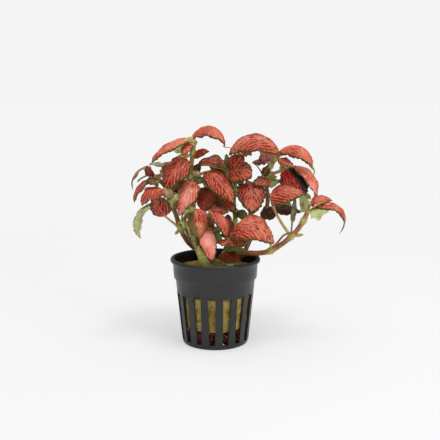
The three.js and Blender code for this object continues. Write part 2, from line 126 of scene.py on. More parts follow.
paper_with_painted_glow, tree, shader = new_material("paper_with_painted_glow")
feed(tree, shader, {"Base Color": PAPER_WHITE, "Roughness": 1.0, "Specular IOR Level": 0.0})
# Painted glow: an emission that only the camera sees, mixed over the paper more with distance from the pot,
# so shadows on the paper look lighter.
painted_paper_glow = add_node(tree, "ShaderNodeEmission", {"Color": PAINTED_PAPER_GLOW})
on_paper = add_node(tree, "ShaderNodeTexCoord").outputs["Object"]
from_pot = add_node(tree, "ShaderNodeVectorMath", {0: on_paper}, operation="LENGTH").outputs["Value"]
painted_glow_share = add_node(tree, "ShaderNodeMath", {
    0: add_node(tree, "ShaderNodeLightPath").outputs["Is Camera Ray"],
    1: in_range(tree, from_pot, GLOW_DISTANCES, GLOW_SHARES)}, operation="MULTIPLY")
paper_mix = add_node(tree, "ShaderNodeMixShader", {
    "Fac": painted_glow_share.outputs["Value"], 1: shader.outputs["BSDF"], 2: painted_paper_glow.outputs["Emission"]})
feed(tree, tree.nodes["Material Output"], {"Surface": paper_mix.outputs["Shader"]})

studio_paper = round_sheet()
studio_paper.data.materials.append(paper_with_painted_glow)

# ---- Studio light -----------------------------------------------------------------------------------------
# A white tent all round, brightest overhead, with one broad soft lamp above and a small one at the right.
# The camera sees the tent as one plain pale backdrop.
TENT_WHITE, BACKDROP_WHITE = (1.0, 1.0, 1.0, 1.0), (0.90, 0.90, 0.90, 1.0)
TENT_STRENGTHS = (0.14, 0.98)
LAMP_HEIGHT_SHARE = 0.7


def soft_lamp(name, place, target, width, power):
    light = bpy.data.lights.new(name, "AREA")
    light.shape = "RECTANGLE"
    light.size = width
    light.size_y = width * LAMP_HEIGHT_SHARE
    light.energy = power
    lamp = bpy.data.objects.new(name, light)
    lamp.location = place
    lamp.rotation_euler = (Vector(target) - Vector(place)).to_track_quat("-Z", "Y").to_euler()
    bpy.context.scene.collection.objects.link(lamp)


soft_lamp("lamp_above", (0.20, -0.25, 1.1), (0.01, 0.0, 0.05), 0.5, 4.3)
soft_lamp("lamp_right", (0.7, -0.7, 0.35), (0.01, 0.0, 0.04), 0.2, 1.5)

tent = bpy.data.worlds.new("white_tent")
tent.use_nodes = True
tree = tent.node_tree
tent_light = tree.nodes["Background"]
sky_way = add_node(tree, "ShaderNodeTexCoord").outputs["Generated"]
height = add_node(tree, "ShaderNodeSeparateXYZ", {"Vector": sky_way}).outputs["Z"]
feed(tree, tent_light, {"Color": TENT_WHITE, "Strength": in_range(tree, height, (0.0, 1.0), TENT_STRENGTHS)})
plain_backdrop = add_node(tree, "ShaderNodeBackground", {"Color": BACKDROP_WHITE})
seen_or_lit = add_node(tree, "ShaderNodeMixShader", {
    "Fac": add_node(tree, "ShaderNodeLightPath").outputs["Is Camera Ray"],
    1: tent_light.outputs["Background"], 2: plain_backdrop.outputs["Background"]})
feed(tree, tree.nodes["World Output"], {"Surface": seen_or_lit.outputs["Shader"]})
bpy.context.scene.world = tent
bpy.context.scene.view_settings.view_transform = "Standard"

# ---- Net pot ----------------------------------------------------------------------------------------------
# One injection moulding of black polypropylene: a tapered basket with sixteen slots up its side and eight
# in its floor, a plain band, a stepped collar and a rolled lip. Its walls are a millimetre thick.

# Shapes are measured in millimetres from here on, and the pot's angles in degrees.
MM = 0.001
WALL, FLOOR = 1.0, 1.4
FOOT_RADIUS, SIDE_FLARE, BAND_TOP = 19.8, 4.2, 40.0
POT_SLOTS, SLOT_FIRST = 16, -5.0
SLOT_COLUMNS, RIB_COLUMNS = 4, 6
SLOT_HEIGHTS = [3.0, 6.5, 10.0, 14.0, 18.5, 23.0, 27.3, 31.3]
SLOT_HALF_WIDTHS, FLOOR_SLOT_HALF_WIDTH = (1.7, 2.5), 1.6
LEAST_SIDE_RADIUS = 15.0
# The floor's slots are turned a little against the side's. Every other side slot has none below it, and there
# the floor's points keep to this half turn.
FLOOR_TURN, PLAIN_FLOOR_HALF_TURN = 5.0, 3.0
FLOOR_RADII = [1.5, 8.0, 9.8, 11.7, 13.6, 15.5, 17.4, 18.7]
FLOOR_SLOT_ROWS = 4
# A row's radius, its height, and how far it belongs to the side: 0 on the floor, 1 on the side.
FOOT_ROWS = [(19.3, 0.25, 0.6), (19.7, 0.7, 0.85)]
INNER_FOOT_HEIGHT, INNER_FOOT_SHARE, INNER_FOOT_TOP, INNER_FOOT_ROUND = 1.7, 0.7, 1.9, 0.3
BAND_ROW = 35.0
COLLAR_AND_LIP = [
    (23.95, 39.6), (24.15, 39.95), (24.75, 40.05), (24.98, 40.3), (25.2, 43.5), (25.4, 46.5), (25.55, 49.1),
    (25.75, 49.5), (26.6, 49.7), (26.95, 50.1), (27.0, 50.7), (26.9, 51.4), (26.55, 51.85), (26.0, 52.0),
    (25.3, 51.95), (24.85, 51.6), (24.65, 51.0), (24.4, 46.5), (24.05, 41.0), (23.7, 40.2), (23.05, 39.5)]
MOULDED_EDGE = 0.16
PLASTIC_TONES = [(0.3, (0.016, 0.0163, 0.0168)), (0.7, (0.024, 0.0244, 0.025))]


def basket_radius(z):
    return FOOT_RADIUS + SIDE_FLARE * min(z, BAND_TOP) / BAND_TOP


def slot_half_turn(radius, height, odd, side_share):
    """Half the angle that a slot takes in a row. Only the odd slots go on into the floor."""
    low, high = SLOT_HEIGHTS[0], SLOT_HEIGHTS[-1]
    rise = min(max((height - low) / (high - low), 0.0), 1.0)
    half_width = SLOT_HALF_WIDTHS[0] + rise * (SLOT_HALF_WIDTHS[1] - SLOT_HALF_WIDTHS[0])
    on_side = math.degrees(math.asin(half_width / max(radius, LEAST_SIDE_RADIUS)))
    on_floor = math.degrees(math.asin(FLOOR_SLOT_HALF_WIDTH / max(radius, FLOOR_RADII[1])))
    return side_share * on_side + (1.0 - side_share) * (on_floor if odd else PLAIN_FLOOR_HALF_TURN)


def basket_ring(radius, height, side_share):
    """The points of one row: across a slot, across the rib beside it, and so on round the pot."""
    pitch = 360.0 / POT_SLOTS
    ring = []
    for k in range(POT_SLOTS):
        here = slot_half_turn(radius, height, k % 2, side_share)
        after = slot_half_turn(radius, height, (k + 1) % 2, side_share)
        centre = SLOT_FIRST + pitch * k + FLOOR_TURN * (1.0 - side_share)
        turns = [centre - here + 2.0 * here * i / SLOT_COLUMNS for i in range(SLOT_COLUMNS)]
        span = pitch - here - after
        turns += [centre + here + span * i / RIB_COLUMNS for i in range(RIB_COLUMNS)]
        ring += [(radius * math.cos(a), radius * math.sin(a), height) for a in map(math.radians, turns)]
    return ring


def end_caps(first, around, rows):
    """The faces that close both ends of a round run of rows."""
    last = first + (rows - 1) * around
    return [tuple(range(first, first + around))[::-1], tuple(range(last, last + around))]


def net_pot():
    foot = [(radius, 0.0, 0.0) for radius in FLOOR_RADII] + FOOT_ROWS + [(basket_radius(FLOOR), FLOOR, 1.0)]
    side = [(basket_radius(z), z, 1.0) for z in SLOT_HEIGHTS]
    collar = [(basket_radius(BAND_ROW), BAND_ROW, 1.0)] + [(radius, z, 1.0) for radius, z in COLLAR_AND_LIP]
    collar.append((basket_radius(BAND_ROW) - WALL, BAND_ROW, 1.0))
    inner_side = [(radius - WALL, z, 1.0) for radius, z, _ in reversed(side)]
    inner_radius = basket_radius(INNER_FOOT_TOP) - WALL - INNER_FOOT_ROUND
    inner_foot = [(inner_radius, INNER_FOOT_HEIGHT, INNER_FOOT_SHARE)]
    slotted = FLOOR_SLOT_ROWS + 2
    inner_foot += [(radius - INNER_FOOT_ROUND, FLOOR, 0.0) for radius in reversed(FLOOR_RADII[slotted:])]
    inner_foot += [(radius, FLOOR, 0.0) for radius in reversed(FLOOR_RADII[:slotted])]
    rows = foot + side + collar + inner_side + inner_foot

    points = [Vector(p) * MM for row in rows for p in basket_ring(*row)]
    total, period = len(rows), SLOT_COLUMNS + RIB_COLUMNS
    columns = POT_SLOTS * period
    side_first, inner_first = len(foot), len(foot) + len(side) + len(collar)
    side_steps = len(side) - 1
    side_rows = [*range(side_first, side_first + side_steps), *range(inner_first, inner_first + side_steps)]
    floor_rows = [*range(1, 1 + FLOOR_SLOT_ROWS), *range(total - 2 - FLOOR_SLOT_ROWS, total - 2)]

    def in_slot(row, column):
        slot, across = divmod(column, period)
        return across < SLOT_COLUMNS and (row in side_rows or row in floor_rows and slot % 2 == 1)

    def slot_rim(outer_first, inner_last, steps, slot):
        """The faces that close the wall's thickness round a slot."""
        def outer(k, j):
            return (outer_first + k) * columns + slot * period + j

        def inner(k, j):
            return (inner_last - k) * columns + slot * period + j

        rim, end = [], SLOT_COLUMNS
        for k in range(steps):
            rim.append((outer(k, 0), outer(k + 1, 0), inner(k + 1, 0), inner(k, 0)))
            rim.append((outer(k + 1, end), outer(k, end), inner(k, end), inner(k + 1, end)))
        for j in range(end):
            rim.append((outer(0, j + 1), outer(0, j), inner(0, j), inner(0, j + 1)))
            rim.append((outer(steps, j), outer(steps, j + 1), inner(steps, j + 1), inner(steps, j)))
        return rim

    quads = round_quads(0, columns, total)
    faces = [quad for number, quad in enumerate(quads) if not in_slot(*divmod(number, columns))]
    faces += end_caps(0, columns, total)
    for slot in range(POT_SLOTS):
        faces += slot_rim(side_first, inner_first + side_steps, side_steps, slot)
        if slot % 2:
            faces += slot_rim(1, total - 2, FLOOR_SLOT_ROWS, slot)
    return mesh_object("net_pot", points, faces)


def natural_grain_group():
    """The uneven grain that every surface here has: a value from 0 to 1, and the relief that it gives."""
    group = bpy.data.node_groups.new("Natural Grain", "ShaderNodeTree")
    group.interface.new_socket("Place", in_out="INPUT", socket_type="NodeSocketVector")
    starts = {"Scale": 100.0, "Detail": 3.0, "Roughness": 0.55, "Strength": 0.3, "Depth": 0.0002}
    for name, start in starts.items():
        socket = group.interface.new_socket(name, in_out="INPUT", socket_type="NodeSocketFloat")
        socket.default_value = start
    group.interface.new_socket("Amount", in_out="OUTPUT", socket_type="NodeSocketFloat")
    group.interface.new_socket("Relief", in_out="OUTPUT", socket_type="NodeSocketVector")
    given = add_node(group, "NodeGroupInput").outputs
    cloud = add_node(group, "ShaderNodeTexNoise", {
        "Vector": given["Place"], "Scale": given["Scale"], "Detail": given["Detail"],
        "Roughness": given["Roughness"]}).outputs["Fac"]
    relief = add_node(group, "ShaderNodeBump", {
        "Height": cloud, "Strength": given["Strength"], "Distance": given["Depth"]}).outputs["Normal"]
    add_node(group, "NodeGroupOutput", {"Amount": cloud, "Relief": relief})
    return group


natural_grain = natural_grain_group()


def grain(tree, place, **values):
    return add_node(tree, "ShaderNodeGroup", {"Place": place, **values}, node_tree=natural_grain).outputs


def tone_ramp(tree, value, stops):
    ramp = add_node(tree, "ShaderNodeValToRGB", {"Fac": value})
    while len(ramp.color_ramp.elements) < len(stops):
        ramp.color_ramp.elements.new(0.5)
    for element, (spot, colour) in zip(ramp.color_ramp.elements, stops):
        element.position = spot
        element.color = (*colour, 1.0)
    return ramp.outputs["Color"]


black_plastic, tree, shader = new_material("black_plastic")
place = add_node(tree, "ShaderNodeTexCoord").outputs["Object"]
clouds = grain(tree, place, Scale=90.0, Detail=5.0)["Amount"]
scuffs = grain(tree, place, Scale=700.0, Detail=6.0, Roughness=0.7, Strength=0.12)
feed(tree, shader, {
    "Base Color": tone_ramp(tree, clouds, PLASTIC_TONES), "Specular IOR Level": 0.42,
    "Roughness": in_range(tree, scuffs["Amount"], (0.3, 0.75), (0.29, 0.44)), "Normal": scuffs["Relief"]})

net_pot_piece = net_pot()
soft_edges = net_pot_piece.modifiers.new("moulded_edges", "BEVEL")
soft_edges.width = MOULDED_EDGE * MM
soft_edges.segments = 2
soft_edges.limit_method = "ANGLE"
soft_edges.angle_limit = math.radians(50.0)
net_pot_piece.data.materials.append(black_plastic)
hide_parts("pot")
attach(net_pot_piece, "root")

# ---- Rock wool plug ---------------------------------------------------------------------------------------
# A plug of spun mineral fibre, brown from feed water and a little green from algae, pressed into the basket.
# Its top is teased up around the stems, and loose fibres stand off it everywhere.
WOOL_BOTTOM, WOOL_EDGE, WOOL_CROWN, WOOL_RADIUS, WOOL_GAP = 10.8, 45.6, 48.1, 22.7, 0.32
WOOL_ROUND, WOOL_ROWS = 144, 84
WOOL_SIDE_ROWS = WOOL_ROWS * 2 // 3
# How close the lumps of each layer lie, and how high they stand. The side is pressed in by the basket.
WOOL_LUMPS = [(0.22, 0.9), (0.6, 0.45), (1.7, 0.2)]
SIDE_SINK, TOP_LUMP_SHARE, TOP_SINK, TOP_LEAN = 0.75, 0.8, 0.1, 0.25
FIBRE_COUNT, FIBRE_LENGTHS, FIBRE_RADII, FIBRE_LIFT = 2600, (2.0, 5.0), (0.05, 0.1), 0.08
FIBRE_TAPER = (0.6, 0.85, 1.0, 1.0, 0.85, 0.6)
# The fibres thin out towards the middle of the top, and none comes nearer to the basket than this.
BARE_RADIUS, WALL_CLEARANCE = 22.0, 0.1
WOOL_TONES = [(0.25, (0.12, 0.075, 0.020)), (0.45, (0.40, 0.27, 0.070)), (0.58, (0.60, 0.43, 0.13)),
              (0.75, (0.70, 0.54, 0.20))]
ALGAE_GREEN = (0.20, 0.21, 0.045, 1.0)


def wool_radius(z):
    return basket_radius(z) - WALL - WOOL_GAP


def wool_surface(turn, step):
    """A spot on the wool and the way out of it. The steps run up the side and then in over the top."""
    if step <= WOOL_SIDE_ROWS:
        z = WOOL_BOTTOM + (WOOL_EDGE - WOOL_BOTTOM) * step / WOOL_SIDE_ROWS
        radius = min(wool_radius(z), WOOL_RADIUS)
        outward = Vector((math.cos(turn), math.sin(turn), 0.0))
    else:
        inward = (step - WOOL_SIDE_ROWS) / (WOOL_ROWS - WOOL_SIDE_ROWS)
        radius = WOOL_RADIUS * (1.0 - inward)
        z = WOOL_EDGE + (WOOL_CROWN - WOOL_EDGE) * (1.0 - (1.0 - inward) ** 3)
        outward = Vector((TOP_LEAN * math.cos(turn), TOP_LEAN * math.sin(turn), 1.0)).normalized()
    spot = Vector((radius * math.cos(turn), radius * math.sin(turn), z))
    lumps = sum(noise.noise(spot * closeness) * height for closeness, height in WOOL_LUMPS)
    raised = lumps - SIDE_SINK if step <= WOOL_SIDE_ROWS else lumps * TOP_LUMP_SHARE - TOP_SINK
    return spot + outward * raised, outward


def wool_plug():
    turns = [2 * math.pi * k / WOOL_ROUND for k in range(WOOL_ROUND)]
    points = [wool_surface(turn, step)[0] * MM for step in range(WOOL_ROWS) for turn in turns]
    faces = round_quads(0, WOOL_ROUND, WOOL_ROWS) + end_caps(0, WOOL_ROUND, WOOL_ROWS)
    return mesh_object("wool_plug", points, faces)


class Strands:
    """The points, faces and point colours of a piece that is put together from closed round strands."""

    def __init__(self):
        self.points, self.faces, self.hues = [], [], []

    def add(self, route, sizes, sides=3, hues=()):
        """Adds a strand along a route of points, with its radius and its colour at each."""
        first, count = len(self.points), len(route)
        right = (route[1] - route[0]).orthogonal().normalized()
        for i, spot in enumerate(route):
            along = (route[min(i + 1, count - 1)] - route[max(i - 1, 0)]).normalized()
            right = (right - along * right.dot(along)).normalized()
            back = along.cross(right)
            for k in range(sides):
                turn = 2 * math.pi * k / sides
                self.points.append((spot + (right * math.cos(turn) + back * math.sin(turn)) * sizes[i]) * MM)
        self.faces += round_quads(first, sides, count) + end_caps(first, sides, count)
        self.hues += [hue for hue in hues for _ in range(sides)]


def pull_inside(spot, limit):
    """Moves a spot towards the pot's axis, as far as the limit on its distance from it asks."""
    reach = math.hypot(spot.x, spot.y)
    if reach > limit:
        spot.x, spot.y = spot.x * limit / reach, spot.y * limit / reach


def wool_fibres():
    chance = random.Random(11)
    fibres = Strands()
    for _ in range(FIBRE_COUNT):
        turn = chance.uniform(0, 2 * math.pi)
        step = chance.uniform(1, WOOL_ROWS - 2)
        spot, outward = wool_surface(turn, step)
        if step > WOOL_SIDE_ROWS and math.hypot(spot.x, spot.y) < BARE_RADIUS * chance.random():
            continue
        heading = Vector([chance.gauss(0, 1) for _ in range(3)])
        heading = (heading - outward * heading.dot(outward)).normalized()
        length = chance.uniform(*FIBRE_LENGTHS)
        bend = outward * chance.uniform(-0.1, 0.25) + heading.cross(outward) * chance.uniform(-0.5, 0.5)
        route = []
        for i in range(len(FIBRE_TAPER)):
            t = i / (len(FIBRE_TAPER) - 1)
            at = spot + heading * length * (t - 0.5) + bend * math.sin(math.pi * t)
            pull_inside(at, wool_radius(at.z) - WALL_CLEARANCE)
            route.append(at + outward * FIBRE_LIFT)
        thick = chance.uniform(*FIBRE_RADII)
        fibres.add(route, [thick * share for share in FIBRE_TAPER])
    return mesh_object("wool_fibres", fibres.points, fibres.faces)


def blend(tree, share, low, high, how="MIX"):
    inputs = {"Factor": share, "A": low, "B": high}
    return add_node(tree, "ShaderNodeMix", inputs, data_type="RGBA", blend_type=how).outputs["Result"]


brown_wool, tree, shader = new_material("brown_wool")
place = add_node(tree, "ShaderNodeTexCoord").outputs["Object"]
patches = grain(tree, place, Scale=140.0, Detail=5.0, Roughness=0.65)["Amount"]
algae_share = in_range(tree, grain(tree, place, Scale=75.0)["Amount"], (0.47, 0.72), (0.0, 0.7))
felt = grain(tree, place, Scale=1600.0, Detail=6.0, Roughness=0.7, Strength=0.6, Depth=0.0005)
feed(tree, shader, {
    "Base Color": blend(tree, algae_share, tone_ramp(tree, patches, WOOL_TONES), ALGAE_GREEN),
    "Roughness": 0.92, "Specular IOR Level": 0.2, "Normal": felt["Relief"]})

for wool_piece in (wool_plug(), wool_fibres()):
    wool_piece.data.materials.append(brown_wool)
    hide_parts("rock_wool")
    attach(wool_piece, "root")

# ---- Roots ------------------------------------------------------------------------------------------------
# Rust-brown roots that grew out under the plug and wind round inside the foot of the basket.
# They hang from the wool and lie against the wall, where the slots show them.
ROOT_COUNT, ROOT_STEPS, ROOT_SIDES = 70, 17, 6
ROOT_TOP = WOOL_BOTTOM + 0.9
ROOT_SWAY, ROOT_TAPER = 1.6, 0.6
ROOT_TONES = [(0.3, (0.16, 0.035, 0.018)), (0.55, (0.42, 0.095, 0.045)), (0.75, (0.60, 0.20, 0.10))]


def basket_roots():
    chance = random.Random(23)
    roots = Strands()
    for _ in range(ROOT_COUNT):
        turn = chance.uniform(0, 2 * math.pi)
        swing = chance.uniform(-1.1, 1.1)
        start = chance.uniform(6.0, 17.5)
        low = chance.uniform(2.6, 6.5)
        reach = chance.uniform(14.5, 17.9)
        thick = chance.uniform(0.22, 0.5)
        wander = chance.uniform(0, 50)
        route = []
        for i in range(ROOT_STEPS + 1):
            t = i / ROOT_STEPS
            angle = turn + swing * t
            radius = start + (reach - start) * min(1.0, 2.2 * t)
            z = ROOT_TOP - (ROOT_TOP - low) * math.sin(math.pi / 2 * min(1.0, 1.5 * t)) ** 1.4
            aside = noise.noise(Vector((wander, t * 5, 0)))
            back = noise.noise(Vector((wander, 0, t * 5)))
            spot = Vector((radius * math.cos(angle), radius * math.sin(angle), z))
            spot += Vector((aside, back, 0.0)) * ROOT_SWAY
            spot.z = max(spot.z + 1.2 * noise.noise(Vector((0, wander, t * 6))), FLOOR + thick)
            pull_inside(spot, basket_radius(spot.z) - WALL - thick - WALL_CLEARANCE)
            route.append(spot)
        sizes = [thick * (1.0 - ROOT_TAPER * i / ROOT_STEPS) for i in range(ROOT_STEPS + 1)]
        roots.add(route, sizes, ROOT_SIDES)
    return mesh_object("basket_roots", roots.points, roots.faces)


root_skin, tree, shader = new_material("root_skin")
place = add_node(tree, "ShaderNodeTexCoord").outputs["Object"]
feed(tree, shader, {
    "Base Color": tone_ramp(tree, grain(tree, place, Scale=230.0, Detail=4.0)["Amount"], ROOT_TONES),
    "Roughness": 0.6, "Specular IOR Level": 0.35, "Normal": grain(tree, place, Scale=2500.0)["Relief"]})

roots_piece = basket_roots()
roots_piece.data.materials.append(root_skin)
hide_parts("roots")
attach(roots_piece, "root")

# ---- Stalks -----------------------------------------------------------------------------------------------
# Each leafy stem has one round, fleshy stalk, brown-red with swollen pale green knuckles. A thin leaf stalk
# carries each leaf and runs on as the rib under the blade. All the stems root in the rock wool.

